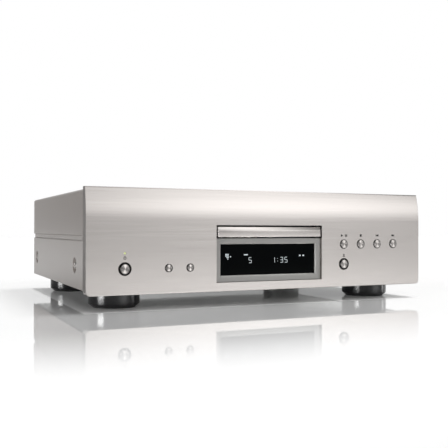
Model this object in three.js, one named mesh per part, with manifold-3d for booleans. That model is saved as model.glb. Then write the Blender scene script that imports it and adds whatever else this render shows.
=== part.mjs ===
// A full-width hi-fi disc player: an aluminium front over a folded steel case on four round feet, with a
// motor-driven disc tray, a lifting disc drive, a lit display, eight push buttons and rear connectors.
// Millimetres, +Z up. X runs to the right, Y from the front to the back. While it is built, the face of the
// front panel is Y = 0 and the shelf is Z = 0; the last lines move the origin under the middle of the whole.
import * as THREE from "three";
import { mergeVertices } from "three/addons/utils/BufferGeometryUtils.js";
import Module from "manifold-3d";

const wasm = await Module();
wasm.setup();

// Driving dimensions
const WIDTH = 434; // the usual width of full-size hi-fi
const HEIGHT = 132; // shelf to the top of the front panel
const CASE_DEPTH = 330; // panel face to the rear edge of the cover
const JACK_REACH = 11; // rear jacks behind the edge of the cover
const BUTTON_PROUD = 1; // button faces in front of the panel
const PANEL_BOTTOM = 17.5; // the front panel hangs a little below the case
const PANEL_DEPTH = 13.4;
const CASE_BOTTOM = 22.2; // lower edge of the cover's sides
const CASE_TOP = 130;
const CASE_WIDTH = 432;
const STEEL = 1.2; // gauge of every folded steel piece
const GAP = 0.3; // left between pieces that are screwed or clipped together
const DISC_Y = 74; // middle of the disc with the tray shut
const DRIVE_TILT = THREE.MathUtils.degToRad(4.5); // how far the drive is let down to free the tray
const PIVOT_Y = 160; // the drive's hinge line
const PIVOT_Z = 70;

const ROUND = 18; // facets of a middling circle
const SMALL = 10; // facets of a small one
const LARGE = 30; // facets of the largest

// ---------------------------------------------------------------- solids

// A closed geometry as a manifold-3d solid.
function solidOf(geometry) {
  const bare = geometry.clone();
  bare.deleteAttribute("normal");
  bare.deleteAttribute("uv");
  const merged = mergeVertices(bare, 1e-4);
  return new wasm.Manifold(
    new wasm.Mesh({
      numProp: 3,
      vertProperties: merged.attributes.position.array,
      triVerts: new Uint32Array(merged.index.array),
    }),
  );
}

function geometryOf(solid) {
  const mesh = solid.getMesh();
  return new THREE.BufferGeometry()
    .setAttribute("position", new THREE.BufferAttribute(mesh.vertProperties, 3))
    .setIndex(new THREE.BufferAttribute(mesh.triVerts, 1));
}

const cut = (body, ...tools) =>
  geometryOf(tools.reduce((left, tool) => left.subtract(solidOf(tool)), solidOf(body)));

const join = (first, ...others) =>
  geometryOf(others.reduce((whole, piece) => whole.add(solidOf(piece)), solidOf(first)));

const common = (a, b) => geometryOf(solidOf(a).intersect(solidOf(b)));

// A box between two limits on each axis.
function block([x0, x1], [y0, y1], [z0, z1]) {
  const box = new THREE.BoxGeometry(x1 - x0, y1 - y0, z1 - z0);
  return box.translate((x0 + x1) / 2, (y0 + y1) / 2, (z0 + z1) / 2);
}

function extruded(shape, length, curveSegments = ROUND) {
  return new THREE.ExtrudeGeometry(shape, { depth: length, bevelEnabled: false, curveSegments });
}

// An outline in X and Y, from one height to another.
const standing = (shape, z0, z1, facets) => extruded(shape, z1 - z0, facets).translate(0, 0, z0);

// An outline in X and Z, seen from the front, from one depth to another.
function facing(shape, y0, y1, facets) {
  return extruded(shape, y1 - y0, facets).rotateX(Math.PI / 2).translate(0, y1, 0);
}

// An outline in Y and Z, seen from the side, from one X to another.
function sideways(shape, x0, x1, facets) {
  const turn = new THREE.Matrix4().makeBasis(
    new THREE.Vector3(0, 1, 0),
    new THREE.Vector3(0, 0, 1),
    new THREE.Vector3(1, 0, 0),
  );
  return extruded(shape, x1 - x0, facets).applyMatrix4(turn).translate(x0, 0, 0);
}

const outline = (...points) => new THREE.Shape(points.map(([a, b]) => new THREE.Vector2(a, b)));

const rectangle = ([a0, a1], [b0, b1]) => outline([a0, b0], [a1, b0], [a1, b1], [a0, b1]);

function circle(a, b, radius) {
  const shape = new THREE.Shape();
  shape.absarc(a, b, radius, 0, 2 * Math.PI);
  return shape;
}

// A profile of [radius, height] points, from the lower end on the axis to the upper end, turned about Z.
function turned(profile, facets = ROUND) {
  const points = profile.map(([radius, height]) => new THREE.Vector2(radius, height));
  return new THREE.LatheGeometry(points, facets).rotateX(Math.PI / 2);
}

// The same profile turned about a line that runs from the front to the back.
const turnedBack = (profile, facets) => turned(profile, facets).rotateX(-Math.PI / 2);

const turnedRight = (profile, facets) => turned(profile, facets).rotateY(Math.PI / 2);

const rod = (radius, from, to) => [
  [0, from],
  [radius, from],
  [radius, to],
  [0, to],
];

// ---------------------------------------------------------------- finishes

function finish(color, roughness, metalness) {
  return new THREE.MeshStandardMaterial({ color, roughness, metalness });
}

const finishes = {
  champagne: finish(0xcfcac4, 0.38, 0.9),
  cover: finish(0x96918d, 0.45, 0.6),
  zinc: finish(0xb4b6b4, 0.45, 0.85),
  glossBlack: finish(0x0b0b0c, 0.15, 0),
  satinBlack: finish(0x1b1b1d, 0.55, 0),
  silverFrame: finish(0xa3a29e, 0.45, 0.6),
  window: finish(0x050507, 0.06, 0),
  circuit: finish(0x1d4a32, 0.6, 0),
  gold: finish(0xc9a24d, 0.3, 1),
  ivory: finish(0xd9d5c8, 0.5, 0),
  rubber: finish(0x161616, 0.8, 0),
  lens: finish(0x8fb0c8, 0.05, 0),
  light: finish(0xb9c94a, 0.3, 0),
};

const player = new THREE.Group();

function add(parent, name, geometry, material) {
  const mesh = new THREE.Mesh(geometry, material);
  mesh.name = name;
  parent.add(mesh);
  return mesh;
}

// ---------------------------------------------------------------- front panel

const FACE_CURVE_START = 96.5; // the flat face ends here and the top leans back
const FACE_CURVE = 138; // radius of that lean
const LOWER_BEVEL = 0.8;
const LOWER_CORNER = 4.5;
const PANEL_WALL = 7; // behind the face; the edges reach back to the cover
const PANEL_RIM = 4.4;
const OPENING = { side: 69.5, low: 27.3, high: 92 };

// Every button: place on the face, radius of its cap and of its hole.
const BUTTONS = {
  power_button: { x: -175.3, z: 45.1, cap: 5.5, hole: 7.25 },
  disc_layer_button: { x: -126.2, z: 45.1, cap: 4.1, hole: 4.6 },
  pure_direct_button: { x: -101.2, z: 45.1, cap: 4.1, hole: 4.6 },
  open_close_button: { x: 101.2, z: 45.1, cap: 5.5, hole: 7.25 },
  play_pause_button: { x: 101.2, z: 69.4, cap: 5.35, hole: 5.85 },
  stop_button: { x: 126.2, z: 69.4, cap: 5.35, hole: 5.85 },
  skip_back_button: { x: 151, z: 69.4, cap: 5.35, hole: 5.85 },
  skip_forward_button: { x: 175.8, z: 69.4, cap: 5.35, hole: 5.85 },
};
const LIGHT = { x: -175.3, z: 61.7, radius: 1.2 };
const STEM = 3; // radius of each button's stem
const STEM_END = 14.6;

function frontPanel() {
  const lean = Math.asin((HEIGHT - FACE_CURVE_START) / FACE_CURVE);
  const side = new THREE.Shape();
  side.moveTo(PANEL_DEPTH, PANEL_BOTTOM);
  side.lineTo(PANEL_DEPTH, HEIGHT);
  side.absarc(FACE_CURVE, FACE_CURVE_START, FACE_CURVE, Math.PI - lean, Math.PI, false);
  side.lineTo(0, PANEL_BOTTOM + LOWER_BEVEL);
  side.lineTo(LOWER_BEVEL, PANEL_BOTTOM);
  const slab = sideways(side, -WIDTH / 2, WIDTH / 2, 6);

  const half = WIDTH / 2;
  const front = new THREE.Shape();
  front.moveTo(half, HEIGHT + 1);
  front.lineTo(-half, HEIGHT + 1);
  const inset = half - LOWER_CORNER;
  const down = 1.5 * Math.PI;
  front.absarc(-inset, PANEL_BOTTOM + LOWER_CORNER, LOWER_CORNER, Math.PI, down, false);
  front.absarc(inset, PANEL_BOTTOM + LOWER_CORNER, LOWER_CORNER, down, 2 * Math.PI, false);
  const rounded = common(slab, facing(front, -1, PANEL_DEPTH + 1, 4));

  const pocket = block(
    [-half + PANEL_RIM, half - PANEL_RIM],
    [PANEL_WALL, PANEL_DEPTH + 1],
    [PANEL_BOTTOM + PANEL_RIM, HEIGHT - PANEL_RIM],
  );
  const opening = block([-OPENING.side, OPENING.side], [-1, PANEL_DEPTH], [OPENING.low, OPENING.high]);
  const holes = Object.values(BUTTONS).map(({ x, z, hole }) => facing(circle(x, z, hole), -1, PANEL_DEPTH));
  const lightHole = facing(circle(LIGHT.x, LIGHT.z, LIGHT.radius + 0.15), -1, PANEL_DEPTH, SMALL);
  return cut(rounded, pocket, opening, ...holes, lightHole);
}

add(player, "front_panel", frontPanel(), finishes.champagne);

// Each button is a turned cap with a retaining collar behind the panel and a stem to its switch.
const COLLAR = 1.1;
const CAP_BEVEL = 0.4;

function button({ cap, hole }) {
  const collarFront = PANEL_WALL + GAP;
  return turnedBack([
    [0, -BUTTON_PROUD],
    [cap - CAP_BEVEL, -BUTTON_PROUD],
    [cap, -BUTTON_PROUD + CAP_BEVEL],
    [cap, collarFront],
    [hole + COLLAR, collarFront],
    [hole + COLLAR, collarFront + COLLAR],
    [STEM, collarFront + COLLAR],
    [STEM, STEM_END],
    [0, STEM_END],
  ]);
}

for (const [name, place] of Object.entries(BUTTONS)) {
  add(player, name, button(place), finishes.champagne).position.set(place.x, 0, place.z);
}

add(
  player,
  "power_light",
  turnedBack(rod(LIGHT.radius, -0.2, STEM_END), SMALL).translate(LIGHT.x, 0, LIGHT.z),
  finishes.light,
);

// ---------------------------------------------------------------- case

const SUB_PANEL_Y = PANEL_DEPTH + GAP;
const DISH = { mouth: 9, floor: 6, depth: 2.3 }; // round hollow in the cover around each side screw
const CHASSIS_SIDE = CASE_WIDTH / 2 - DISH.depth - STEEL - GAP; // the hollows rest against the chassis
const CHASSIS_FLOOR = CASE_BOTTOM + GAP;
const CHASSIS_SIDE_TOP = 58;
const REAR_PANEL_Y = CASE_DEPTH - 0.6 - STEEL;
const FLOOR_TOP = CHASSIS_FLOOR + STEEL;

const DISPLAY_GAP = [-60, 60]; // holes in the sub-panel, behind the display and around the tray
const DISPLAY_GAP_Z = [32, 73.5];
const TRAY_GAP = [-70, 70];
const TRAY_GAP_Z = [77, 91.7];
const STEM_ROOM = 0.5;
const TOP_FLANGE = 12;

// Pressed steel behind the front: it carries the boards and lets the tray, display and stems through.
function subPanel() {
  const side = CHASSIS_SIDE - 2;
  const top = CASE_TOP - STEEL - GAP;
  const plate = rectangle([-side, side], [FLOOR_TOP + GAP, top]);
  plate.holes.push(rectangle(DISPLAY_GAP, DISPLAY_GAP_Z));
  plate.holes.push(rectangle(TRAY_GAP, TRAY_GAP_Z));
  for (const { x, z } of Object.values(BUTTONS)) plate.holes.push(circle(x, z, STEM + STEM_ROOM));
  plate.holes.push(circle(LIGHT.x, LIGHT.z, LIGHT.radius + STEM_ROOM));
  const flat = facing(plate, SUB_PANEL_Y, SUB_PANEL_Y + STEEL, SMALL);
  const flange = block([-side, side], [SUB_PANEL_Y, SUB_PANEL_Y + TOP_FLANGE], [top - STEEL, top]);
  return join(flat, flange);
}

add(player, "sub_panel", subPanel(), finishes.zinc);

// Folded tray that everything stands on, with pressed-up posts under the boards.
const POSTS = [
  [-195, 140],
  [-100, 140],
  [-195, 312],
  [-100, 312],
  [25, 312],
  [195, 312],
  [195, 60],
  [100, 60],
];
const POST = 4; // radius
const BOARD_Z = 46;
const SINK = 0.5; // how far a joined piece runs into the one it stands on
const SCREWS = { front: 57, rear: 303, z: 47.3, hole: 2.3, shank: 1.9, head: 4.1, length: 6 };

function bottomChassis() {
  const s = CHASSIS_SIDE;
  const fold = outline(
    [-s, CHASSIS_FLOOR],
    [s, CHASSIS_FLOOR],
    [s, CHASSIS_SIDE_TOP],
    [s - STEEL, CHASSIS_SIDE_TOP],
    [s - STEEL, FLOOR_TOP],
    [-s + STEEL, FLOOR_TOP],
    [-s + STEEL, CHASSIS_SIDE_TOP],
    [-s, CHASSIS_SIDE_TOP],
  );
  const tray = facing(fold, SUB_PANEL_Y + STEEL + GAP, REAR_PANEL_Y - GAP);
  const postSide = rod(POST, FLOOR_TOP - SINK, BOARD_Z - GAP);
  const posts = POSTS.map(([x, y]) => turned(postSide, SMALL).translate(x, y, 0));
  const screwHoles = [SCREWS.front, SCREWS.rear].map((y) =>
    turnedRight(rod(SCREWS.hole, -s - 1, s + 1), SMALL).translate(0, y, SCREWS.z),
  );
  return cut(join(tray, ...posts), ...screwHoles);
}

add(player, "bottom_chassis", bottomChassis(), finishes.zinc);

// One folded sheet makes the top and both sides. A groove is rolled along each side, and each side is dished
// where a screw holds it.
const BEND = 3.2;
const GROOVE = { low: 74, high: 80.8, depth: 1.6 };

// Half of the cover's section, from its lower edge on the right to the top, set in from the outside.
function coverSide(inset) {
  const x = CASE_WIDTH / 2 - inset;
  const top = CASE_TOP - inset;
  const bend = BEND - inset;
  const points = [
    [x, CASE_BOTTOM],
    [x, GROOVE.low],
    [x - GROOVE.depth, GROOVE.low + GROOVE.depth],
    [x - GROOVE.depth, GROOVE.high - GROOVE.depth / 2],
    [x, GROOVE.high],
  ];
  const steps = 4;
  for (let i = 0; i <= steps; i++) {
    const angle = ((i / steps) * Math.PI) / 2;
    points.push([x - bend + bend * Math.cos(angle), top - bend + bend * Math.sin(angle)]);
  }
  return points;
}

function topCover() {
  const mirror = (points) => points.map(([x, z]) => [-x, z]).reverse();
  const outside = coverSide(0);
  const inside = coverSide(STEEL);
  const section = outline(...outside, ...mirror(outside), ...mirror(inside).reverse(), ...inside.reverse());
  let cover = facing(section, SUB_PANEL_Y, CASE_DEPTH);
  const wall = CASE_WIDTH / 2;
  for (const hand of [-1, 1]) {
    for (const y of [SCREWS.front, SCREWS.rear]) {
      const place = (g) => g.rotateY((hand * Math.PI) / 2).translate(hand * wall, y, SCREWS.z);
      // heights count outwards from the side's face
      const boss = place(
        turned([
          [0, -DISH.depth - STEEL],
          [DISH.floor + 1, -DISH.depth - STEEL],
          [DISH.mouth + 1, -STEEL / 2],
          [0, -STEEL / 2],
        ]),
      );
      const bowl = place(
        turned([
          [0, -DISH.depth],
          [DISH.floor, -DISH.depth],
          [DISH.mouth, 0],
          [DISH.mouth, 1],
          [0, 1],
        ]),
      );
      const hole = place(turned(rod(SCREWS.hole, -DISH.depth - STEEL - 1, 0), SMALL));
      cover = cut(join(cover, boss), bowl, hole);
    }
  }
  return cover;
}

add(player, "top_cover", topCover(), finishes.cover);

// Pan-headed screws in the dishes, through the cover into the chassis.
const SCREW_SIDES = 16;
const HEAD_EDGE = 1.3;
const HEAD_HEIGHT = 2.1;

for (const [end, y] of [
  ["front", SCREWS.front],
  ["rear", SCREWS.rear],
]) {
  for (const [side, hand] of [
    ["left", -1],
    ["right", 1],
  ]) {
    const seat = -DISH.depth + 0.05;
    const screw = turned(
      [
        [0, seat - SCREWS.length],
        [SCREWS.shank, seat - SCREWS.length],
        [SCREWS.shank, seat],
        [SCREWS.head, seat],
        [SCREWS.head, seat + HEAD_EDGE],
        [SCREWS.head - 1, seat + HEAD_HEIGHT],
        [0, seat + HEAD_HEIGHT],
      ],
      SCREW_SIDES,
    )
      .rotateY((hand * Math.PI) / 2)
      .translate((hand * CASE_WIDTH) / 2, y, SCREWS.z);
    add(player, `cover_screw_${end}_${side}`, screw, finishes.zinc);
  }
}

// ---------------------------------------------------------------- feet

const FOOT = { x: 171.7, front: 55.6, rear: 280, radius: 29.2, base: 25 };
const FOOT_STEPS = { low: 1, flare: 4.6, shoulder: 20.6 }; // heights above the shelf
const FOOT_TOP = CHASSIS_FLOOR - 0.2;

const footProfile = [
  [0, 0],
  [FOOT.base, 0],
  [FOOT.base, FOOT_STEPS.low],
  [FOOT.radius, FOOT_STEPS.flare],
  [FOOT.radius, FOOT_STEPS.shoulder],
  [FOOT.radius - 1.4, FOOT_TOP],
  [0, FOOT_TOP],
];

for (const [end, y] of [
  ["front", FOOT.front],
  ["rear", FOOT.rear],
]) {
  for (const [side, x] of [
    ["left", -FOOT.x],
    ["right", FOOT.x],
  ]) {
    const foot = turned(footProfile, LARGE);
    add(player, `foot_${end}_${side}`, foot, finishes.glossBlack).position.set(x, y, 0);
  }
}

// ---------------------------------------------------------------- display

const WINDOW = { side: 62.5, low: 34.8, high: 70.3, front: 6.6, thickness: 2 };
const FRAME = { face: 3.4, top: 76.8, flange: 4, back: 9.2, lean: 1.5 };
const SEAT = 1.6; // the recess for the window's edge, behind the frame
const WINDOW_EDGE = 1.2;

// Grey frame set back in the panel's opening, bevelled towards the window and hooked behind the panel.
function displayBezel() {
  const side = OPENING.side - GAP;
  const low = OPENING.low + GAP;
  const front = block([-side, side], [FRAME.face, PANEL_WALL + 0.5], [low, FRAME.top]);
  const edge = side + FRAME.flange;
  const flange = block([-edge, edge], [PANEL_WALL + GAP, FRAME.back], [low - FRAME.flange, FRAME.top]);
  // the sides of the hole lean in by this much from the front to the back
  const lean = FRAME.lean;
  const back = WINDOW.front - 0.6;
  const bevel = new THREE.BufferGeometry();
  const corners = [];
  for (const [y, more] of [
    [FRAME.face - 0.01, lean],
    [back, 0],
  ]) {
    corners.push([-WINDOW.side - more, y, WINDOW.low - more], [WINDOW.side + more, y, WINDOW.low - more]);
    corners.push([WINDOW.side + more, y, WINDOW.high + more], [-WINDOW.side - more, y, WINDOW.high + more]);
  }
  bevel.setAttribute("position", new THREE.Float32BufferAttribute(corners.flat(), 3));
  const faces = [
    [0, 1, 2, 3],
    [7, 6, 5, 4],
    [0, 4, 5, 1],
    [1, 5, 6, 2],
    [2, 6, 7, 3],
    [3, 7, 4, 0],
  ];
  bevel.setIndex(faces.flatMap(([a, b, c, d]) => [a, b, c, a, c, d]));
  const through = block([-WINDOW.side, WINDOW.side], [0, FRAME.back + 1], [WINDOW.low, WINDOW.high]);
  const seat = block(
    [-WINDOW.side - SEAT, WINDOW.side + SEAT],
    [WINDOW.front - GAP, FRAME.back + 1],
    [WINDOW.low - SEAT, WINDOW.high + SEAT],
  );
  return cut(join(front, flange), bevel, through, seat);
}

add(player, "display_bezel", displayBezel(), finishes.silverFrame);

add(
  player,
  "display_window",
  block(
    [-WINDOW.side - WINDOW_EDGE, WINDOW.side + WINDOW_EDGE],
    [WINDOW.front, WINDOW.front + WINDOW.thickness],
    [WINDOW.low - WINDOW_EDGE, WINDOW.high + WINDOW_EDGE],
  ),
  finishes.window,
);

// The lit glass tube stands behind the window, on a board of its own.
const TUBE = { side: 56, front: 9.6, back: 17, low: 37, high: 68 };
const BOARD = 1.6;
const DISPLAY_BOARD = { side: 74, front: TUBE.back + GAP, low: 26, high: 74 };

add(
  player,
  "display_tube",
  block([-TUBE.side, TUBE.side], [TUBE.front, TUBE.back], [TUBE.low, TUBE.high]),
  finishes.lens,
);

add(
  player,
  "display_board",
  block(
    [-DISPLAY_BOARD.side, DISPLAY_BOARD.side],
    [DISPLAY_BOARD.front, DISPLAY_BOARD.front + BOARD],
    [DISPLAY_BOARD.low, DISPLAY_BOARD.high],
  ),
  finishes.circuit,
);

// ---------------------------------------------------------------- key boards

// A board behind each group of buttons, with a switch in line with each stem.
const KEY_BOARD_Y = 19.5;
const SWITCH = { half: 3, front: 16.1 };

function keyBoard(hand, [x0, x1], [z0, z1]) {
  const board = block([x0, x1], [KEY_BOARD_Y, KEY_BOARD_Y + BOARD], [z0, z1]);
  const near = Object.values(BUTTONS).filter(({ x }) => x * hand > 0);
  const around = (middle) => [middle - SWITCH.half, middle + SWITCH.half];
  const switches = near.map(({ x, z }) => block(around(x), [SWITCH.front, KEY_BOARD_Y + 0.1], around(z)));
  return join(board, ...switches);
}

add(player, "key_board_left", keyBoard(-1, [-190, -90], [34, 68]), finishes.circuit);
add(player, "key_board_right", keyBoard(1, [90, 188], [34, 80]), finishes.circuit);

// ---------------------------------------------------------------- gear teeth

const MODULE = 1.5;
const PITCH = Math.PI * MODULE;
const PRESSURE = THREE.MathUtils.degToRad(20);
const ADDENDUM = 0.8 * MODULE; // short teeth, as on small moulded gears
const DEDENDUM = 1.05 * MODULE;
const BACKLASH = 0.3;

const involute = (angle) => Math.tan(angle) - angle;

// A spur gear's outline about its own middle; the first tooth points at the given angle.
function gearOutline(teeth, firstTooth, bore) {
  const pitchRadius = (teeth * MODULE) / 2;
  const baseRadius = pitchRadius * Math.cos(PRESSURE);
  const halfTooth = (PITCH / 4 - BACKLASH / 2) / pitchRadius;
  const halfAngle = (radius) => {
    const pressure = Math.acos(Math.min(1, baseRadius / radius));
    return halfTooth + involute(PRESSURE) - involute(pressure);
  };
  const flank = [pitchRadius - DEDENDUM, pitchRadius, pitchRadius + ADDENDUM];
  const points = [];
  for (let tooth = 0; tooth < teeth; tooth++) {
    const middle = firstTooth + (tooth * 2 * Math.PI) / teeth;
    for (const radius of flank) points.push([radius, middle - halfAngle(radius)]);
    for (const radius of [...flank].reverse()) points.push([radius, middle + halfAngle(radius)]);
  }
  const flat = points.map(([radius, angle]) => [radius * Math.cos(angle), radius * Math.sin(angle)]);
  const shape = outline(...flat);
  shape.holes.push(circle(0, 0, bore));
  return shape;
}

// ---------------------------------------------------------------- tray

const TRAY = { side: 66, front: 7, back: 184, floor: 83.6, rim: 88, seat: 85.2 };
const RUNNER = { width: 3.5, low: 80 }; // the tray's edges, which ride on the loader's ledges
const RECESSES = { large: 61, small: 41, hub: 22, step: 0.7 }; // radii for both sizes of disc
const PICKUP_SLOT = { side: 19, back: 142 };
const DRIVE_TEETH = 24;
const PINION_TEETH = 12;
const DRIVE_GEAR = { x: -37, y: 40 };
const DRIVE_RADIUS = (DRIVE_TEETH * MODULE) / 2;
const PINION_RADIUS = (PINION_TEETH * MODULE) / 2;
const RACK_LINE = DRIVE_GEAR.x - DRIVE_RADIUS;
const RACK_Z = [78, TRAY.floor + 0.1];

// The rack's teeth point to the right; a space lies on the gear's middle when the tray is shut.
function rack() {
  const back = RACK_LINE - 5;
  const root = RACK_LINE - DEDENDUM;
  const tip = RACK_LINE + ADDENDUM;
  const halfAt = (x) => PITCH / 4 - BACKLASH / 2 - (x - RACK_LINE) * Math.tan(PRESSURE);
  const first = Math.ceil((TRAY.front + 3 - DRIVE_GEAR.y) / PITCH);
  const last = Math.floor((TRAY.back - 3 - DRIVE_GEAR.y) / PITCH);
  const points = [[back, TRAY.front + 1]];
  points.push([root, TRAY.front + 1]);
  for (let i = first; i < last; i++) {
    const middle = DRIVE_GEAR.y + (i + 0.5) * PITCH;
    points.push([root, middle - halfAt(root)], [tip, middle - halfAt(tip)]);
    points.push([tip, middle + halfAt(tip)], [root, middle + halfAt(root)]);
  }
  points.push([root, TRAY.back - 1], [back, TRAY.back - 1]);
  return standing(outline(...points), ...RACK_Z);
}

function discTray() {
  const { side, front, back, floor, rim, seat } = TRAY;
  const plate = block([-side, side], [front, back], [floor, rim]);
  const runners = [-1, 1].map((hand) => {
    const edges = [hand * side, hand * (side - RUNNER.width)].sort((a, b) => a - b);
    return block(edges, [front, back], [RUNNER.low, floor + 0.1]);
  });
  const nose = block([-side, side], [front, front + 2], [RUNNER.low, floor + 0.1]);
  const above = rim + 1;
  const fullSize = standing(circle(0, DISC_Y, RECESSES.large), seat, above, LARGE);
  const smallSize = standing(circle(0, DISC_Y, RECESSES.small), seat - RECESSES.step, above, LARGE);
  const hub = standing(circle(0, DISC_Y, RECESSES.hub), floor - 1, above);
  const slot = block([-PICKUP_SLOT.side, PICKUP_SLOT.side], [DISC_Y, PICKUP_SLOT.back], [floor - 1, above]);
  return cut(join(plate, ...runners, nose, rack()), fullSize, smallSize, hub, slot);
}

add(player, "disc_tray", discTray(), finishes.satinBlack);

// Aluminium door on the front of the tray: flat below, its upper third leaning back.
const DOOR = { side: 67.6, low: 78.6, high: 90.1, bend: 86.2, lean: 1.6, back: TRAY.front - GAP };

const doorSide = outline(
  [0.4, DOOR.low],
  [DOOR.back, DOOR.low],
  [DOOR.back, DOOR.high],
  [DOOR.lean + 0.4, DOOR.high],
  [DOOR.lean, DOOR.high - 0.4],
  [0, DOOR.bend],
  [0, DOOR.low + 0.4],
);
add(player, "tray_door", sideways(doorSide, -DOOR.side, DOOR.side), finishes.champagne);

// ---------------------------------------------------------------- loader

const LOADER = { side: 71, wall: 4, front: 20.5, back: 190, floor: [44, 46], top: 96 };
const AXLE = 2;
const AXLE_TOP = 83;
const GEAR_LOW = 74;
const GEAR_TOP = 82.6;
const LEDGE = { inner: 62.4, z: [77.4, 79.7] };
const HINGE_POST = { x: [50, 54], y: [PIVOT_Y - 7, PIVOT_Y + 7], top: 76, bore: 2.9 };
const LEG = { x: 64, inset: 8, radius: 5 };
const WELL = { side: 40, y: [70, 150] }; // opening under the disc drive
const CROSS_WALLS = { front: 73.5, rear: 77, thickness: 3 }; // heights of the walls under the tray

// Moulded frame: floor on four legs, side walls with ledges for the tray, axle pins and hinge posts.
function loaderBase() {
  const { side, wall, front, back, floor, top } = LOADER;
  const plate = block([-side, side], [front, back], floor);
  const underDrive = block([-WELL.side, WELL.side], WELL.y, [floor[0] - 1, floor[1] + 1]);
  const pieces = [];
  for (const hand of [-1, 1]) {
    const span = (a, b) => [hand * a, hand * b].sort((p, q) => p - q);
    pieces.push(block(span(side - wall, side), [front, back], [floor[0], top]));
    pieces.push(block(span(LEDGE.inner, side - wall + 0.1), [front, back], LEDGE.z));
    pieces.push(block(span(...HINGE_POST.x), HINGE_POST.y, [floor[1] - 0.1, HINGE_POST.top]));
    for (const y of [front + LEG.inset, back - LEG.inset]) {
      const leg = turned(rod(LEG.radius, FLOOR_TOP + GAP, floor[1] - 0.1), SMALL);
      pieces.push(leg.translate(hand * LEG.x, y, 0));
    }
  }
  const { thickness } = CROSS_WALLS;
  pieces.push(block([-side, side], [front, front + thickness], [floor[0], CROSS_WALLS.front]));
  pieces.push(block([-side, side], [back - thickness, back], [floor[0], CROSS_WALLS.rear]));
  for (const x of [DRIVE_GEAR.x, DRIVE_GEAR.x + DRIVE_RADIUS + PINION_RADIUS]) {
    pieces.push(turned(rod(AXLE, floor[1] - 0.1, AXLE_TOP), SMALL).translate(x, DRIVE_GEAR.y, 0));
  }
  const bore = turnedRight(rod(HINGE_POST.bore, -LEG.x, LEG.x), SMALL).translate(0, PIVOT_Y, PIVOT_Z);
  return cut(join(cut(plate, underDrive), ...pieces), bore);
}

add(player, "loader_base", loaderBase(), finishes.satinBlack);

add(
  player,
  "drive_gear",
  standing(gearOutline(DRIVE_TEETH, 0, AXLE + 0.2), GEAR_LOW, GEAR_TOP, SMALL).translate(
    DRIVE_GEAR.x,
    DRIVE_GEAR.y,
    0,
  ),
  finishes.ivory,
);

// Belt pulley below, pinion above: it meshes with the drive gear.
const PULLEY = { x: DRIVE_GEAR.x + DRIVE_RADIUS + PINION_RADIUS, radius: 14, low: 70, high: 73.6 };
const MOTOR = { x: 50, y: DRIVE_GEAR.y, radius: 12, pulley: 4, boss: 4, top: 65, shaft: 1 };
const BELT = 1.2;

function pulleyProfile(radius, low, high, bore) {
  const rimWidth = 0.6;
  return [
    [bore, low],
    [radius, low],
    [radius, low + rimWidth],
    [radius - BELT, low + rimWidth + 0.4],
    [radius - BELT, high - rimWidth - 0.4],
    [radius, high - rimWidth],
    [radius, high],
    [bore, high],
    [bore, low],
  ];
}

function pulleyGear() {
  const teeth = gearOutline(PINION_TEETH, Math.PI / PINION_TEETH, AXLE + 0.2);
  const pinion = standing(teeth, PULLEY.high - 0.2, GEAR_TOP, SMALL);
  const wheel = turned(pulleyProfile(PULLEY.radius, PULLEY.low, PULLEY.high, AXLE + 0.5));
  return join(pinion, wheel);
}

add(player, "pulley_gear", pulleyGear(), finishes.ivory).position.set(PULLEY.x, DRIVE_GEAR.y, 0);

const motorCan = cut(
  turned([
    [0, LOADER.floor[1] + GAP],
    [MOTOR.radius, LOADER.floor[1] + GAP],
    [MOTOR.radius, MOTOR.top - 1],
    [MOTOR.radius - 1, MOTOR.top],
    [MOTOR.boss, MOTOR.top],
    [MOTOR.boss, MOTOR.top + 1.5],
    [0, MOTOR.top + 1.5],
  ]),
  turned(rod(MOTOR.shaft + 0.4, MOTOR.top - 7, MOTOR.top + 5), SMALL),
);
add(player, "loading_motor", motorCan, finishes.zinc).position.set(MOTOR.x, MOTOR.y, 0);

const motorPulley = join(
  turned(pulleyProfile(MOTOR.pulley, PULLEY.low, PULLEY.high, MOTOR.shaft - 0.1), SCREW_SIDES),
  turned(rod(MOTOR.shaft, MOTOR.top - 6, PULLEY.high + 0.5), SMALL),
);
add(player, "motor_pulley", motorPulley, finishes.ivory).position.set(MOTOR.x, MOTOR.y, 0);

// Square-section rubber belt around both pulleys.
function beltOutline(outward) {
  const big = PULLEY.radius - BELT + 0.2 + outward;
  const small = MOTOR.pulley - BELT + 0.2 + outward;
  const between = MOTOR.x - PULLEY.x;
  const lean = Math.acos((big - small) / between);
  const shape = new THREE.Shape();
  shape.absarc(PULLEY.x, DRIVE_GEAR.y, big, lean, 2 * Math.PI - lean, false);
  shape.absarc(MOTOR.x, MOTOR.y, small, -lean, lean, false);
  return shape;
}

function loadingBelt() {
  const shape = beltOutline(BELT);
  shape.holes.push(beltOutline(0));
  const middle = (PULLEY.low + PULLEY.high) / 2;
  return standing(shape, middle - BELT / 2, middle + BELT / 2, SMALL);
}

add(player, "loading_belt", loadingBelt(), finishes.rubber);

// ---------------------------------------------------------------- drive lift

const CAM_TRAVEL = 24;
const CAM_Y = [24.2, 26.8];
const CAM_X = [-60, 37];
const LIFT_PIN = { x: 30, y: (CAM_Y[0] + CAM_Y[1]) / 2, raised: 66, radius: 1.5 };
const pinDrop = (PIVOT_Y - LIFT_PIN.y) * Math.sin(DRIVE_TILT);

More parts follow.
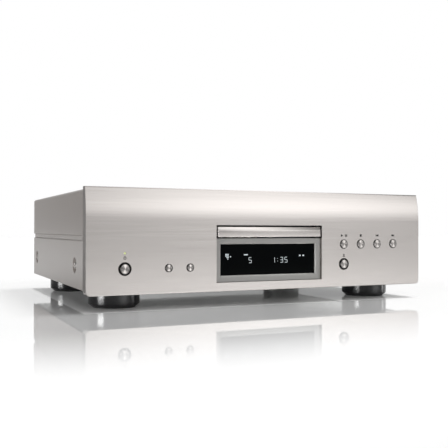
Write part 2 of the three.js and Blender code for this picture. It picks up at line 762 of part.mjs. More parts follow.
// Plate with two sloping slots that slides across the front and lifts the drive's pins.
function camSlider() {
  const bar = rectangle(CAM_X, [LOADER.floor[1] + GAP, PULLEY.low - GAP]);
  const width = LIFT_PIN.radius + 0.7;
  const slope = Math.atan2(pinDrop, CAM_TRAVEL);
  const dx = width * Math.sin(slope);
  const dz = width * Math.cos(slope);
  const low = LIFT_PIN.raised - pinDrop;
  for (const x of [-LIFT_PIN.x, LIFT_PIN.x]) {
    const slot = new THREE.Path();
    slot.absarc(x, low, width, -Math.PI / 2 - slope, Math.PI / 2 - slope, false);
    slot.absarc(x - CAM_TRAVEL, LIFT_PIN.raised, width, Math.PI / 2 - slope, 1.5 * Math.PI - slope, false);
    bar.holes.push(slot);
  }
  return facing(bar, ...CAM_Y, 8);
}

add(player, "cam_slider", camSlider(), finishes.ivory);

// The drive hangs on its rear hinge. Its pieces are placed as they lie with the drive raised, and the whole
// is then let down about the hinge, which is how it rests while the tray may move.
const lowered = new THREE.Group();
lowered.position.set(0, PIVOT_Y, PIVOT_Z);
lowered.rotation.x = DRIVE_TILT;
player.add(lowered);
const drive = new THREE.Group();
drive.position.set(0, -PIVOT_Y, -PIVOT_Z);
lowered.add(drive);

const PLATE = { side: 46, front: 58, back: 164, low: 66.5, high: 69 };
const RAIL = { x: 24, z: 74, radius: 1.5, from: 89.8, to: 151 };
const SCREW = { x: -34, z: 75.5, radius: 1.8, to: 150 };
const PICKUP_HOLE = { side: 31, y: [94, 148] };
const ARM = { x: [27, 33], front: 33, low: 63 }; // the two arms that carry the lifting pins
const HINGE_PIN = 2.5;
const RAIL_POST = { x: [20, 28], width: 2.7, top: 78 };

function traverse() {
  const { side, front, back, low, high } = PLATE;
  const plate = rectangle([-side, side], [front, back]);
  plate.holes.push(rectangle([-PICKUP_HOLE.side, PICKUP_HOLE.side], PICKUP_HOLE.y));
  const pieces = [];
  for (const hand of [-1, 1]) {
    const span = (a, b) => [hand * a, hand * b].sort((p, q) => p - q);
    pieces.push(block(span(...ARM.x), [ARM.front, front + 1], [ARM.low, high]));
    const liftPin = turnedBack(rod(LIFT_PIN.radius, CAM_Y[0] + 0.6, ARM.front + 1), SMALL);
    pieces.push(liftPin.translate(hand * LIFT_PIN.x, 0, LIFT_PIN.raised));
    const hingePin = turnedRight(rod(HINGE_PIN, ...span(side - SINK, side + 8.5)), SMALL);
    pieces.push(hingePin.translate(0, PIVOT_Y, PIVOT_Z));
    const post = [high - 0.1, RAIL_POST.top];
    pieces.push(block(span(...RAIL_POST.x), [RAIL.from - GAP - RAIL_POST.width, RAIL.from - GAP], post));
    pieces.push(block(span(...RAIL_POST.x), [RAIL.to + GAP, RAIL.to + GAP + RAIL_POST.width], post));
    pieces.push(block(span(side - 4, side), [PIVOT_Y - 4, back], [high - 0.1, PIVOT_Z + 3]));
  }
  return join(standing(plate, low, high), ...pieces);
}

add(drive, "traverse", traverse(), finishes.zinc);

for (const [name, x] of [
  ["guide_rail_left", -RAIL.x],
  ["guide_rail_right", RAIL.x],
]) {
  const rail = turnedBack(rod(RAIL.radius, RAIL.from, RAIL.to), SMALL);
  add(drive, name, rail, finishes.zinc).position.set(x, 0, RAIL.z);
}

const SPINDLE_MOTOR = { radius: 12.5, top: 77, shaft: 1.2 };

const spindleCan = cut(
  turned([
    [0, PLATE.high + GAP],
    [SPINDLE_MOTOR.radius, PLATE.high + GAP],
    [SPINDLE_MOTOR.radius, SPINDLE_MOTOR.top - 1],
    [SPINDLE_MOTOR.radius - 1, SPINDLE_MOTOR.top],
    [0, SPINDLE_MOTOR.top],
  ]),
  turned(rod(SPINDLE_MOTOR.shaft + 0.4, SPINDLE_MOTOR.top - 5, SPINDLE_MOTOR.top + 3), SMALL),
);
add(drive, "spindle_motor", spindleCan, finishes.zinc).position.set(0, DISC_Y, 0);

// Platter, centring cone and shaft in one.
const PLATTER = { radius: 15, low: 83.4, top: 86.4 };
const CONE = { radius: 7.4, tip: 6, top: 88.8 };

add(
  drive,
  "turntable",
  turned([
    [0, SPINDLE_MOTOR.top - 4.5],
    [SPINDLE_MOTOR.shaft, SPINDLE_MOTOR.top - 4.5],
    [SPINDLE_MOTOR.shaft, PLATTER.low],
    [PLATTER.radius, PLATTER.low],
    [PLATTER.radius, PLATTER.top],
    [CONE.radius, PLATTER.top],
    [CONE.radius, CONE.top - 1.2],
    [CONE.tip, CONE.top],
    [0, CONE.top],
  ]),
  finishes.satinBlack,
).position.set(0, DISC_Y, 0);

// The pickup starts at the disc's inner radius and travels outwards, to the back.
const LENS_Y = DISC_Y + 24;
const SLED = { side: 27.5, low: 71, high: 78 };
const TURRET = { side: 9, top: 82.2 };
const NUT = { x: [-31.5, -27.4], length: 10 };
const LENS = { radius: 3.5, low: 81.1, top: 84 };

function pickup() {
  const body = block([-SLED.side, SLED.side], [LENS_Y - 7, LENS_Y + 15], [SLED.low, SLED.high]);
  const turretZ = [SLED.high - 0.1, TURRET.top];
  const turret = block([-TURRET.side, TURRET.side], [LENS_Y - 6.5, LENS_Y + 8], turretZ);
  const nut = block(NUT.x, [LENS_Y, LENS_Y + NUT.length], [SLED.low + 1, SLED.high]);
  const bores = [-RAIL.x, RAIL.x].map((x) =>
    turnedBack(rod(RAIL.radius + 0.3, LENS_Y - 10, LENS_Y + 20), SMALL).translate(x, 0, RAIL.z),
  );
  const lensWell = turned(rod(LENS.radius + 0.4, LENS.low - GAP, LENS.top), SCREW_SIDES);
  lensWell.translate(0, LENS_Y, 0);
  return cut(join(body, turret, nut), ...bores, lensWell);
}

add(drive, "pickup", pickup(), finishes.satinBlack);

const lensProfile = [
  [0, LENS.low],
  [LENS.radius, LENS.low],
  [LENS.radius, LENS.top - 1.1],
  [LENS.radius - 0.9, LENS.top - 0.4],
  [0, LENS.top],
];
add(drive, "pickup_lens", turned(lensProfile, SCREW_SIDES), finishes.lens).position.set(0, LENS_Y, 0);

// The sled's motor and its screw lie beside the left rail.
const SLED_MOTOR = { radius: 6, from: 62, to: 86 };

const sledCan = cut(
  turnedBack(rod(SLED_MOTOR.radius, SLED_MOTOR.from, SLED_MOTOR.to), SCREW_SIDES),
  turnedBack(rod(SCREW.radius + 0.4, SLED_MOTOR.to - 7, SLED_MOTOR.to + 4), SMALL),
);
add(drive, "sled_motor", sledCan, finishes.zinc).position.set(SCREW.x, 0, SCREW.z);

const sledScrew = turnedBack(rod(SCREW.radius, SLED_MOTOR.to - 6, SCREW.to), SMALL);
add(drive, "sled_screw", sledScrew, finishes.zinc).position.set(SCREW.x, 0, SCREW.z);

// ---------------------------------------------------------------- disc clamp

const BRIDGE_Z = LOADER.top + GAP;
const BRIDGE = { width: 36, thickness: 1.5, hole: 11.5 };

function clampBridge() {
  const half = BRIDGE.width / 2;
  const plate = rectangle([-LOADER.side, LOADER.side], [DISC_Y - half, DISC_Y + half]);
  plate.holes.push(circle(0, DISC_Y, BRIDGE.hole));
  return standing(plate, BRIDGE_Z, BRIDGE_Z + BRIDGE.thickness);
}

add(player, "clamp_bridge", clampBridge(), finishes.zinc);

// Bobbin-shaped puck that hangs in the bridge's hole and turns with the disc.
const PUCK = { pad: 15, recess: 8, neck: BRIDGE.hole - 1, cap: 13.5, low: 90, high: 93.5 };
const PUCK_CAP = BRIDGE_Z + BRIDGE.thickness + 0.5;

add(
  player,
  "clamp_puck",
  turned([
    [0, PUCK.low + 0.6],
    [PUCK.recess, PUCK.low + 0.6],
    [PUCK.recess, PUCK.low],
    [PUCK.pad, PUCK.low],
    [PUCK.pad, PUCK.high],
    [PUCK.neck, PUCK.high],
    [PUCK.neck, PUCK_CAP],
    [PUCK.cap, PUCK_CAP],
    [PUCK.cap, PUCK_CAP + 1.6],
    [0, PUCK_CAP + 1.6],
  ]),
  finishes.satinBlack,
).position.set(0, DISC_Y, 0);

// ---------------------------------------------------------------- electronics

const boardZ = [BOARD_Z, BOARD_Z + BOARD];
const onBoard = BOARD_Z + BOARD - 0.2;
const BOARD_REAR = 322;
const CHIP = 3; // height of a flat chip

// Four capacitors in a square, by the place of the nearest one on the left and their spacing.
function capacitors(x, y, spacing, radius, height) {
  const can = (dx, dy) => turned(rod(radius, onBoard, onBoard + height), 16).translate(x + dx, y + dy, 0);
  return [can(0, 0), can(0, spacing[1]), can(spacing[0], 0), can(spacing[0], spacing[1])];
}

// An L-shaped board that passes the loader on the right and fills the rear.
function mainBoard() {
  const right = 206;
  const front = 45;
  const inner = { left: 10, step: 85, y: 205 };
  const shape = outline(
    [inner.step, front],
    [right, front],
    [right, BOARD_REAR],
    [inner.left, BOARD_REAR],
    [inner.left, inner.y],
    [inner.step, inner.y],
  );
  const chips = [
    block([105, 135], [190, 220], [onBoard, onBoard + CHIP]),
    block([40, 62], [240, 262], [onBoard, onBoard + CHIP]),
  ];
  return join(standing(shape, ...boardZ), ...capacitors(155, 110, [25, 25], 9, 30), ...chips);
}

add(player, "main_board", mainBoard(), finishes.circuit);

// A shorter board behind the transformer, with a heat sink along its left edge.
function powerBoard() {
  const board = block([-206, -90], [132, BOARD_REAR], boardZ);
  const heatSink = block([-200, -184], [170, 260], [onBoard, onBoard + 34]);
  return join(board, ...capacitors(-145, 170, [30, 30], 11, 35), heatSink);
}

add(player, "power_board", powerBoard(), finishes.circuit);

// Laminated core with its winding, on a bracket screwed to the floor.
function transformer() {
  const foot = block([-200, -100], [50, 104], [FLOOR_TOP + GAP, FLOOR_TOP + 2]);
  const core = block([-190, -110], [58, 96], [FLOOR_TOP + 1.9, 92]);
  const winding = block([-176, -124], [44, 110], [36, 80]);
  return join(foot, core, winding);
}

add(player, "transformer", transformer(), finishes.zinc);

// ---------------------------------------------------------------- rear panel and connectors

const REAR_FACE = REAR_PANEL_Y + STEEL;
const REAR_JACKS = {
  analog_output_left: { x: 150, z: 76 },
  analog_output_right: { x: 150, z: 56 },
  coaxial_output: { x: 84, z: 66 },
};
const OPTICAL = { x: 48, z: 66, side: 7, height: 6, wall: 2.1 }; // half its width and height
const REMOTE = { x: -6, z: 66, apart: 14, edge: 5 };
const INLET = { x: -165, z: 61, width: 26, height: 18, wall: 2 };
const JACK_BODY = 5.2;

// A hole in a plate, by its middle and half its size.
const window = (x, z, halfX, halfZ) => rectangle([x - halfX, x + halfX], [z - halfZ, z + halfZ]);

function rearPanel() {
  const plate = rectangle([-CHASSIS_SIDE, CHASSIS_SIDE], [CHASSIS_FLOOR, CASE_TOP - STEEL - GAP]);
  for (const { x, z } of Object.values(REAR_JACKS)) plate.holes.push(circle(x, z, JACK_BODY + GAP));
  plate.holes.push(window(OPTICAL.x, OPTICAL.z, OPTICAL.side + GAP, OPTICAL.height + GAP));
  plate.holes.push(window(REMOTE.x, REMOTE.z, REMOTE.apart / 2 + REMOTE.edge + GAP, REMOTE.edge + GAP));
  const clear = INLET.wall + GAP;
  plate.holes.push(window(INLET.x, INLET.z, INLET.width / 2 + clear, INLET.height / 2 + clear));
  return facing(plate, REAR_PANEL_Y, REAR_FACE);
}

add(player, "rear_panel", rearPanel(), finishes.satinBlack);

// Phono jack: a body behind the panel, a collar outside it and a hollow barrel.
const jackEnd = CASE_DEPTH + JACK_REACH;
const JACK = { collar: 6.5, barrel: 4.15, bore: 1.7, bodyLength: 12, boreDepth: 8 };
const jackProfile = [
  [0, REAR_PANEL_Y - JACK.bodyLength],
  [JACK_BODY, REAR_PANEL_Y - JACK.bodyLength],
  [JACK_BODY, REAR_FACE + GAP],
  [JACK.collar, REAR_FACE + GAP],
  [JACK.collar, REAR_FACE + GAP + 2],
  [JACK.barrel, REAR_FACE + GAP + 2],
  [JACK.barrel, jackEnd],
  [JACK.bore, jackEnd],
  [JACK.bore, jackEnd - JACK.boreDepth],
  [0, jackEnd - JACK.boreDepth],
];
for (const [name, { x, z }] of Object.entries(REAR_JACKS)) {
  add(player, name, turnedBack(jackProfile), finishes.gold).position.set(x, 0, z);
}

// Square socket for a light guide.
const opticalBox = window(OPTICAL.x, OPTICAL.z, OPTICAL.side, OPTICAL.height);
const opticalWell = window(OPTICAL.x, OPTICAL.z, OPTICAL.side - OPTICAL.wall, OPTICAL.height - OPTICAL.wall);
const opticalBody = cut(
  facing(opticalBox, REAR_PANEL_Y - 14, REAR_FACE + 1),
  facing(opticalWell, REAR_FACE - 9, REAR_FACE + 2),
);
add(player, "optical_output", opticalBody, finishes.satinBlack);

// Twin miniature jacks in one moulding.
function remoteJacks() {
  const moulding = window(REMOTE.x, REMOTE.z, REMOTE.apart / 2 + REMOTE.edge, REMOTE.edge);
  const body = facing(moulding, REAR_PANEL_Y - JACK.bodyLength, REAR_FACE + 0.5);
  const places = [-1, 1].map((hand) => REMOTE.x + (hand * REMOTE.apart) / 2);
  const collars = places.map((x) => facing(circle(x, REMOTE.z, 3.8), REAR_FACE, REAR_FACE + 2.2, SMALL));
  const bores = places.map((x) => facing(circle(x, REMOTE.z, 1.8), REAR_FACE - 9, REAR_FACE + 3, SMALL));
  return cut(join(body, ...collars), ...bores);
}

add(player, "remote_jacks", remoteJacks(), finishes.satinBlack);

// Two-pin mains inlet: flange outside, shroud through the panel, pins inside the well.
function mainsInlet() {
  const { x, z, width, height, wall } = INLET;
  const shroud = facing(window(x, z, width / 2 + wall, height / 2 + wall), REAR_FACE - 20, REAR_FACE + 1);
  const flange = facing(window(x, z, width / 2 + 6, height / 2 + 4), REAR_FACE + GAP, REAR_FACE + 2.5);
  const hollow = facing(window(x, z, width / 2 - 0.5, height / 2 - 0.5), REAR_FACE - 16, REAR_FACE + 4);
  const pins = [-7, 7].map((dx) => facing(window(x + dx, z, 1, 2), REAR_FACE - 17, REAR_FACE - 2));
  return join(cut(join(shroud, flange), hollow), ...pins);
}

add(player, "mains_inlet", mainsInlet(), finishes.satinBlack);

// ---------------------------------------------------------------- origin

player.position.y = -(CASE_DEPTH + JACK_REACH - BUTTON_PROUD) / 2;
const part = new THREE.Group();
part.add(player);

export default part;
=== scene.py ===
# %% [markdown]
# A full-width hi-fi disc player, dressed for its portrait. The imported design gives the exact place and
# size of every part, and everything that moves. This lesson builds the looks around it: each visible part
# is modelled again with its rounded edges, its small details and a procedural finish, and then rides on
# the same moving body as the part that it stands for.

import math

import bmesh
import bpy
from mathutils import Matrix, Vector


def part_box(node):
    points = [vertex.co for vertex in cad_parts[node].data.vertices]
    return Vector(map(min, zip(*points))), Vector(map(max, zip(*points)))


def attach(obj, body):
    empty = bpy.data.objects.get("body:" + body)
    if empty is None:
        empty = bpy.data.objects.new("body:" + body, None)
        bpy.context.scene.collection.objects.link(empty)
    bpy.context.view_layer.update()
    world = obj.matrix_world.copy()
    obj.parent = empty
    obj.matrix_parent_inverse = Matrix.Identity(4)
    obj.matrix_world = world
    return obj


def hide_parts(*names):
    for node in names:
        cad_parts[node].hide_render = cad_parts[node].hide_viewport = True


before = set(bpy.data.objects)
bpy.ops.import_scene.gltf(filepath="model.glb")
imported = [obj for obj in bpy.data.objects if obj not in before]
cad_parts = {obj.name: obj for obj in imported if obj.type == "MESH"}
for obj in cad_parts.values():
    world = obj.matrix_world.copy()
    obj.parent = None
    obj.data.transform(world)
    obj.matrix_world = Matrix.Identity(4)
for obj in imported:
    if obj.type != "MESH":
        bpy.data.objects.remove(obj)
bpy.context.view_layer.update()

# %% [markdown]
# The camera stands to the left of the player, with its lens a little under the player's top edge: the top
# isn't seen, and the upright edges stay upright. A 54 mm lens on a full-size sensor takes in the whole
# width.

# %% Camera
CAMERA_PLACE = (-0.3793, -0.8626, 0.0871)
CAMERA_TURN = 24.72
CAMERA_RISE = 0.46
CAMERA_ROLL = -0.10
LENS = 54.45


def place_camera():
    bpy.ops.object.camera_add(location=CAMERA_PLACE)
    camera = bpy.context.object
    camera.rotation_euler = [math.radians(a) for a in (90 + CAMERA_RISE, CAMERA_ROLL, -CAMERA_TURN)]
    camera.data.lens = LENS
    camera.data.sensor_width = 36
    camera.data.clip_start = 0.01
    bpy.context.scene.camera = camera
    return camera


camera = place_camera()
print("the camera is", round(camera.location.z * 1000), "mm above the shelf")

# %% [markdown]
# Sizes below are in millimetres, and Blender's are in metres. Places are counted from the middle of the
# front face at shelf height, with X to the right, Y to the back and Z up, so that a depth of 7 means 7 mm
# behind the face. Two helpers turn such places into Blender's, and the design's boxes into such places.

# %% Places
MM = 0.001
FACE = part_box("front_panel")[0][1]


def at(x, y, z):
    return Vector((x * MM, y * MM + FACE, z * MM))


def limits(node):
    """A part's lowest and highest corners in millimetres from the middle of the face."""
    low, high = (Vector(corner) - Vector((0, FACE, 0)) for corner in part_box(node))
    return low / MM, high / MM


def middle(node):
    low, high = limits(node)
    return (low + high) / 2


for name in ("front_panel", "top_cover"):
    low, high = limits(name)
    print(name, [round(size, 1) for size in high - low], "mm")

# %% [markdown]
# Edit mode operators work on whatever is selected. These helpers clear the selection, enter and leave edit
# mode, and select points, edges or faces by a test on their place, so that nothing depends on a number of
# a face.


# %% Helpers for edit mode
def clear_selection():
    bpy.ops.object.select_all(action="DESELECT")


def activate(piece):
    clear_selection()
    piece.select_set(True)
    bpy.context.view_layer.objects.active = piece


class Editing:
    """with Editing(piece) as edit: the piece is in edit mode, and tests are given places in millimetres."""

    def __init__(self, piece):
        self.piece = piece

    def __enter__(self):
        activate(self.piece)
        bpy.ops.object.mode_set(mode="EDIT")
        return self

    def __exit__(self, *problem):
        bpy.ops.object.mode_set(mode="OBJECT")

    def choose(self, kind, test):
        bpy.ops.mesh.select_mode(type=kind)
        bpy.ops.mesh.select_all(action="DESELECT")
        mesh = bmesh.from_edit_mesh(self.piece.data)
        for part in {"VERT": mesh.verts, "EDGE": mesh.edges, "FACE": mesh.faces}[kind]:
            part.select_set(test(part))
        mesh.select_flush_mode()
        bmesh.update_edit_mesh(self.piece.data)

    def points(self, test):
        self.choose("VERT", lambda point: test(from_face(point.co)))

    def edges(self, test):
        self.choose("EDGE", lambda edge: test(*[from_face(point.co) for point in edge.verts]))

    def faces(self, test):
        self.choose("FACE", lambda face: test(from_face(face.calc_center_median()), face.normal))

    def everything(self):
        bpy.ops.mesh.select_mode(type="VERT")
        bpy.ops.mesh.select_all(action="SELECT")


def from_face(place):
    return Vector((place.x, place.y - FACE, place.z)) / MM


# %% [markdown]
# Nearly every piece starts in one of three ways. A box is a cube added at its size and place. A turned
# piece is a line of points, extruded one by one and spun round an axis, as on a lathe. A folded sheet is a
# line of points that is extruded along its length and then given the thickness of the steel.

# %% Helpers that start a piece
TINY = 0.001


def box(name, low, high):
    """A cube from one corner to the other, both given in millimetres from the middle of the face."""
    low, high = at(*low), at(*high)
    clear_selection()
    bpy.ops.mesh.primitive_cube_add(size=1, location=(low + high) / 2, scale=high - low)
    piece = bpy.context.object
    piece.name = piece.data.name = name
    bpy.ops.object.transform_apply(location=True, rotation=True, scale=True)
    return piece


def line(name, places):
    """A chain of edges: a plane is merged to one point, which is then extruded from place to place."""
    clear_selection()
    bpy.ops.mesh.primitive_plane_add(size=1)
    piece = bpy.context.object
    piece.name = piece.data.name = name
    with Editing(piece) as edit:
        edit.everything()
        bpy.ops.mesh.merge(type="CENTER")
        bpy.ops.transform.translate(value=places[0])
        for here, there in zip(places, places[1:]):
            bpy.ops.mesh.extrude_region_move(TRANSFORM_OT_translate={"value": there - here})
    return piece


AXES = {"X": Vector((1, 0, 0)), "Y": Vector((0, 1, 0)), "Z": Vector((0, 0, 1))}
OUTWARDS = {"X": Vector((0, 0, 1)), "Y": Vector((1, 0, 0)), "Z": Vector((1, 0, 0))}


def turned(name, profile, centre, axis="Y", steps=64, angle=360):
    """Spins a line of (radius, distance along the axis) points round the axis through the centre."""
    along, out, centre = AXES[axis], OUTWARDS[axis], at(*centre)
    piece = line(name, [centre + (out * radius + along * distance) * MM for radius, distance in profile])
    with Editing(piece) as edit:
        edit.everything()
        bpy.ops.mesh.spin(steps=steps, angle=math.radians(angle), center=centre, axis=along)
        edit.everything()
        bpy.ops.mesh.remove_doubles(threshold=TINY * MM)
        bpy.ops.mesh.normals_make_consistent(inside=False)
    return piece


def drum(name, radius, near, far, centre, axis="Y", steps=48):
    return turned(name, [(0, near), (radius, near), (radius, far), (0, far)], centre, axis, steps)


def folded_sheet(name, section, front, back, thickness):
    """A section of (x, z) points, drawn on the outside of the steel, extruded from front to back."""
    piece = line(name, [at(x, front, z) for x, z in section])
    with Editing(piece) as edit:
        edit.everything()
        bpy.ops.mesh.extrude_region_move(TRANSFORM_OT_translate={"value": (0, (back - front) * MM, 0)})
        edit.everything()
        bpy.ops.mesh.normals_make_consistent(inside=False)
    modify(piece, "SOLIDIFY", thickness=thickness * MM, offset=-1, use_even_offset=True)
    return piece


# %% [markdown]
# A modifier is added, set and applied in one step. The Bevel modifier breaks every sharp edge by a
# fraction of a millimetre: no machined or moulded edge is perfectly sharp, and the small round catches a
# line of light.


# %% Helpers that finish a piece
def modify(piece, kind, **settings):
    activate(piece)
    modifier = piece.modifiers.new(kind.title(), kind)
    for key, value in settings.items():
        setattr(modifier, key, value)
    bpy.ops.object.modifier_apply(modifier=modifier.name)


def soften(piece, width, segments=2, degrees=35, smooth=20):
    limit = math.radians(degrees)
    modify(piece, "BEVEL", width=width * MM, segments=segments, limit_method="ANGLE", angle_limit=limit)
    bpy.ops.object.shade_smooth_by_angle(angle=math.radians(smooth))
    return piece


def repeat(piece, count, step):
    """A row of the same shape, with the step between its members in millimetres."""
    offset = {"use_relative_offset": False, "use_constant_offset": True}
    modify(piece, "ARRAY", count=count, constant_offset_displace=Vector(step) * MM, **offset)


def take_away(piece, *cutters):
    for cutter in cutters:
        modify(piece, "BOOLEAN", operation="DIFFERENCE", object=cutter, solver="EXACT")
        bpy.data.objects.remove(cutter)
    return piece


def add_on(piece, *additions):
    for addition in additions:
        modify(piece, "BOOLEAN", operation="UNION", object=addition, solver="EXACT")
        bpy.data.objects.remove(addition)
    return piece


def together(piece, *others):
    """Joins separate shells, each with its own finish, into one object."""
    activate(piece)
    for other in others:
        other.select_set(True)
    bpy.ops.object.join()
    return piece


def paint(piece, finish):
    piece.data.materials.clear()
    piece.data.materials.append(finish)
    return piece


def fit(piece, body, slot, *replaces):
    """The last step of every piece: its body, its slot, which is not used, and the parts that it stands for.
    """
    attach(piece, body)
    if replaces:
        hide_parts(*replaces)
    return piece


# %% [markdown]
# Finishes are node trees. Shader maths reads best as plain expressions: a Shade wraps a socket, and adding
# or multiplying Shades adds the Math nodes. Every other node comes from one method, node(), which sets the
# node's settings first and then the values or links of its sockets.


# %% Helpers for node trees
class Shade:
    def __init__(self, tree, socket):
        self.tree = tree
        self.socket = socket

    def math(self, operation, first, second=0.0):
        return self.tree.node("ShaderNodeMath", {"operation": operation}, {0: first, 1: second})

    def __add__(self, other):
        return self.math("ADD", self, other)

    def __mul__(self, other):
        return self.math("MULTIPLY", self, other)

    def __sub__(self, other):
        return self.math("SUBTRACT", self, other)

    def __rsub__(self, other):
        return self.math("SUBTRACT", other, self)

    def __truediv__(self, other):
        return self.math("DIVIDE", self, other)

    def __pow__(self, other):
        return self.math("POWER", self, other)

    __radd__ = __add__
    __rmul__ = __mul__

    def sine(self):
        return self.math("SINE", self)

    def size(self):
        return self.math("ABSOLUTE", self)

    def above(self, lowest):
        return self.math("MAXIMUM", self, lowest)

    def bell(self, width):
        """1 where the value is 0, and falling away on both sides."""
        return self.math("EXPONENT", self * self * (-0.5 / width**2))

    def within(self, low, high):
        """0 below the lower value, 1 above the higher one, and a smooth slope between them."""
        settings = {"interpolation_type": "SMOOTHSTEP"}
        return self.tree.node("ShaderNodeMapRange", settings, {0: self, 1: low, 2: high})


class Tree:
    def __init__(self, owner):
        owner.use_nodes = True
        self.tree = owner.node_tree

    def node(self, kind, settings=None, inputs=None, output=0):
        made = self.tree.nodes.new(kind)
        for key, value in (settings or {}).items():
            setattr(made, key, value)
        for key, value in (inputs or {}).items():
            self.feed(value, made.inputs[key])
        return Shade(self, made.outputs[output])

    def feed(self, value, socket):
        if isinstance(value, Shade):
            self.tree.links.new(value.socket, socket)
        else:
            socket.default_value = value

    def vector(self, operation, first, second=(0, 0, 0)):
        return self.node("ShaderNodeVectorMath", {"operation": operation}, {0: first, 1: second})

    def split(self, vector):
        parts = self.node("ShaderNodeSeparateXYZ", {}, {0: vector})
        return [Shade(self, socket) for socket in parts.socket.node.outputs]

    def mix(self, share, first, second):
        return self.node("ShaderNodeMix", {"data_type": "RGBA"}, {0: share, 6: first, 7: second}, output=2)


class Finish(Tree):
    """A material: constants go straight to the shader's sockets, and what varies is linked to them."""

    def __init__(self, name, **constants):
        self.material = bpy.data.materials.new(name)
        super().__init__(self.material)
        self.shader = self.tree.nodes["Principled BSDF"]
        for key, value in constants.items():
            self.shader.inputs[key.replace("_", " ")].default_value = value

    def vary(self, **links):
        for key, value in links.items():
            self.feed(value, self.shader.inputs[key.replace("_", " ")])
        return self.material

    def place(self):
        """Object coordinates in millimetres from the middle of the face."""
        coordinates = self.node("ShaderNodeTexCoord", output=3)
        from_middle = self.vector("SUBTRACT", coordinates, (0, FACE, 0))
        return self.vector("MULTIPLY", from_middle, (1 / MM, 1 / MM, 1 / MM))

    def noise(self, per_mm, detail=2.0, roughness=0.5):
        """Noise around 0, with its number of grains per millimetre along X, Y and Z."""
        stretched = self.vector("MULTIPLY", self.place(), per_mm)
        inputs = {"Vector": stretched, "Scale": 1.0, "Detail": detail, "Roughness": roughness}
        return self.node("ShaderNodeTexNoise", {}, inputs) - 0.5

    def bump(self, height, strength, distance):
        """Height in units of the distance, which is in millimetres."""
        inputs = {"Height": height, "Strength": strength, "Distance": distance * MM}
        return self.node("ShaderNodeBump", {}, inputs)


def shade_of(colour, factor):
    return tuple(min(1, part * factor) for part in colour[:3]) + (1,)


# %% [markdown]
# The front is champagne-anodised aluminium, brushed from end to end. Its grooves spread a reflection up
# and down and hardly sideways: that is what an anisotropic shader does, turned a quarter so that the
# spread is upright. The grooves themselves show as faint level streaks, drawn by noise that is stretched
# along the panel. The two sawn ends of the panel are rougher and darker: they are found by their distance
# from the middle.

# %% Finish: brushed champagne
CHAMPAGNE = (0.60, 0.567, 0.546, 1)
STREAKS = (0.015, 0.015, 3.2)
BANDS = (0.006, 0.006, 0.9)
# the tones of the deepest and of the highest grooves, as shares of the colour
GROOVES = (0.84, 1.16)
# how far from the middle the sawn ends of the panel begin, with a smooth slope between the two
SAWN_END = (216.75, 216.95)
SAWN_TONE = (0.02, 0.018, 0.017, 1)


def brushed_champagne():
    finish = Finish("brushed_champagne", Metallic=1.0, Anisotropic=0.3, Anisotropic_Rotation=0.25)
    streaks = finish.noise(STREAKS, detail=4.0)
    bands = finish.noise(BANDS, detail=3.0)
    grain = streaks * 0.6 + bands * 0.55
    x, y, z = finish.split(finish.place())
    end = x.size().within(*SAWN_END)
    dull, bright = (shade_of(CHAMPAGNE, share) for share in GROOVES)
    tone = finish.mix(grain + 0.5, dull, bright)
    return finish.vary(
        Base_Color=finish.mix(end * 0.55, tone, SAWN_TONE),
        Roughness=grain * 0.12 + end * 0.3 + 0.25,
        Normal=finish.bump(streaks, 0.35, 0.02),
    )


champagne = brushed_champagne()

# %% [markdown]
# The front panel is one thick extrusion: flat below, leaning back above along an arc, and round at its
# lower corners. It starts as a box. Level cuts give the arc its points, which are moved back by the arc's
# formula. The edit-mode bevel rounds the corners, and the openings are taken out with turned and boxed
# cutters.

# %% Front panel
LEAN_START = 96.5
LEAN_RADIUS = 138
LEAN_CUTS = 24
CORNER = 4.5
LOWER_CHAMFER = 0.8
PANEL_WALL = 7
PANEL_RIM = 4.4
OPENING = {"side": 69.5, "low": 27.3, "high": 92}

# radius of each button's cap, and of the hole that it stands in
BUTTONS = {
    "power_button": (5.5, 7.25),
    "open_close_button": (5.5, 7.25),
    "disc_layer_button": (4.1, 4.6),
    "pure_direct_button": (4.1, 4.6),
    "play_pause_button": (5.35, 5.85),
    "stop_button": (5.35, 5.85),
    "skip_back_button": (5.35, 5.85),
    "skip_forward_button": (5.35, 5.85),
}
LIGHT_HOLE = 1.35
# a cutter of this half length goes right through any plate
THROUGH = 20


def set_back(z):
    return LEAN_RADIUS - math.sqrt(LEAN_RADIUS**2 - (z - LEAN_START) ** 2)


def front_panel():
    low, high = limits("front_panel")
    panel = box("front_panel_shell", low, high)
    heights = [LEAN_START + (high.z - LEAN_START) * i / LEAN_CUTS for i in range(LEAN_CUTS + 1)]
    with Editing(panel) as edit:
        for z in heights[:-1]:
            edit.everything()
            bpy.ops.mesh.bisect(plane_co=at(0, 0, z), plane_no=(0, 0, 1))
        for z in heights[1:]:
            edit.points(lambda p: abs(p.z - z) < TINY and p.y < TINY)
            bpy.ops.transform.translate(value=(0, set_back(z) * MM, 0))
        edit.edges(lambda a, b: max(a.z, b.z) < low.z + TINY and abs(a.x - b.x) < TINY)
        bpy.ops.mesh.bevel(offset=CORNER * MM, segments=10, affect="EDGES")
        edit.edges(lambda a, b: max(a.z, b.z) < low.z + CORNER + TINY and max(a.y, b.y) < TINY)
        bpy.ops.mesh.bevel(offset=LOWER_CHAMFER * MM, segments=2, affect="EDGES")
    pocket = box(
        "cutter",
        (low.x + PANEL_RIM, PANEL_WALL, low.z + PANEL_RIM),
        (high.x - PANEL_RIM, high.y + 1, high.z - PANEL_RIM),
    )
    side = OPENING["side"]
    opening = box("cutter", (-side, -1, OPENING["low"]), (side, high.y, OPENING["high"]))
    holes = [drum("cutter", hole, -THROUGH, THROUGH, middle(node)) for node, (cap, hole) in BUTTONS.items()]
    light = drum("cutter", LIGHT_HOLE, -THROUGH, THROUGH, middle("power_light"), steps=24)
    take_away(panel, pocket, opening, light, *holes)
    soften(panel, 0.2)
    return fit(paint(panel, champagne), "chassis", "champagne", "front_panel")


panel = front_panel()
print("front panel:", len(panel.data.polygons), "faces")
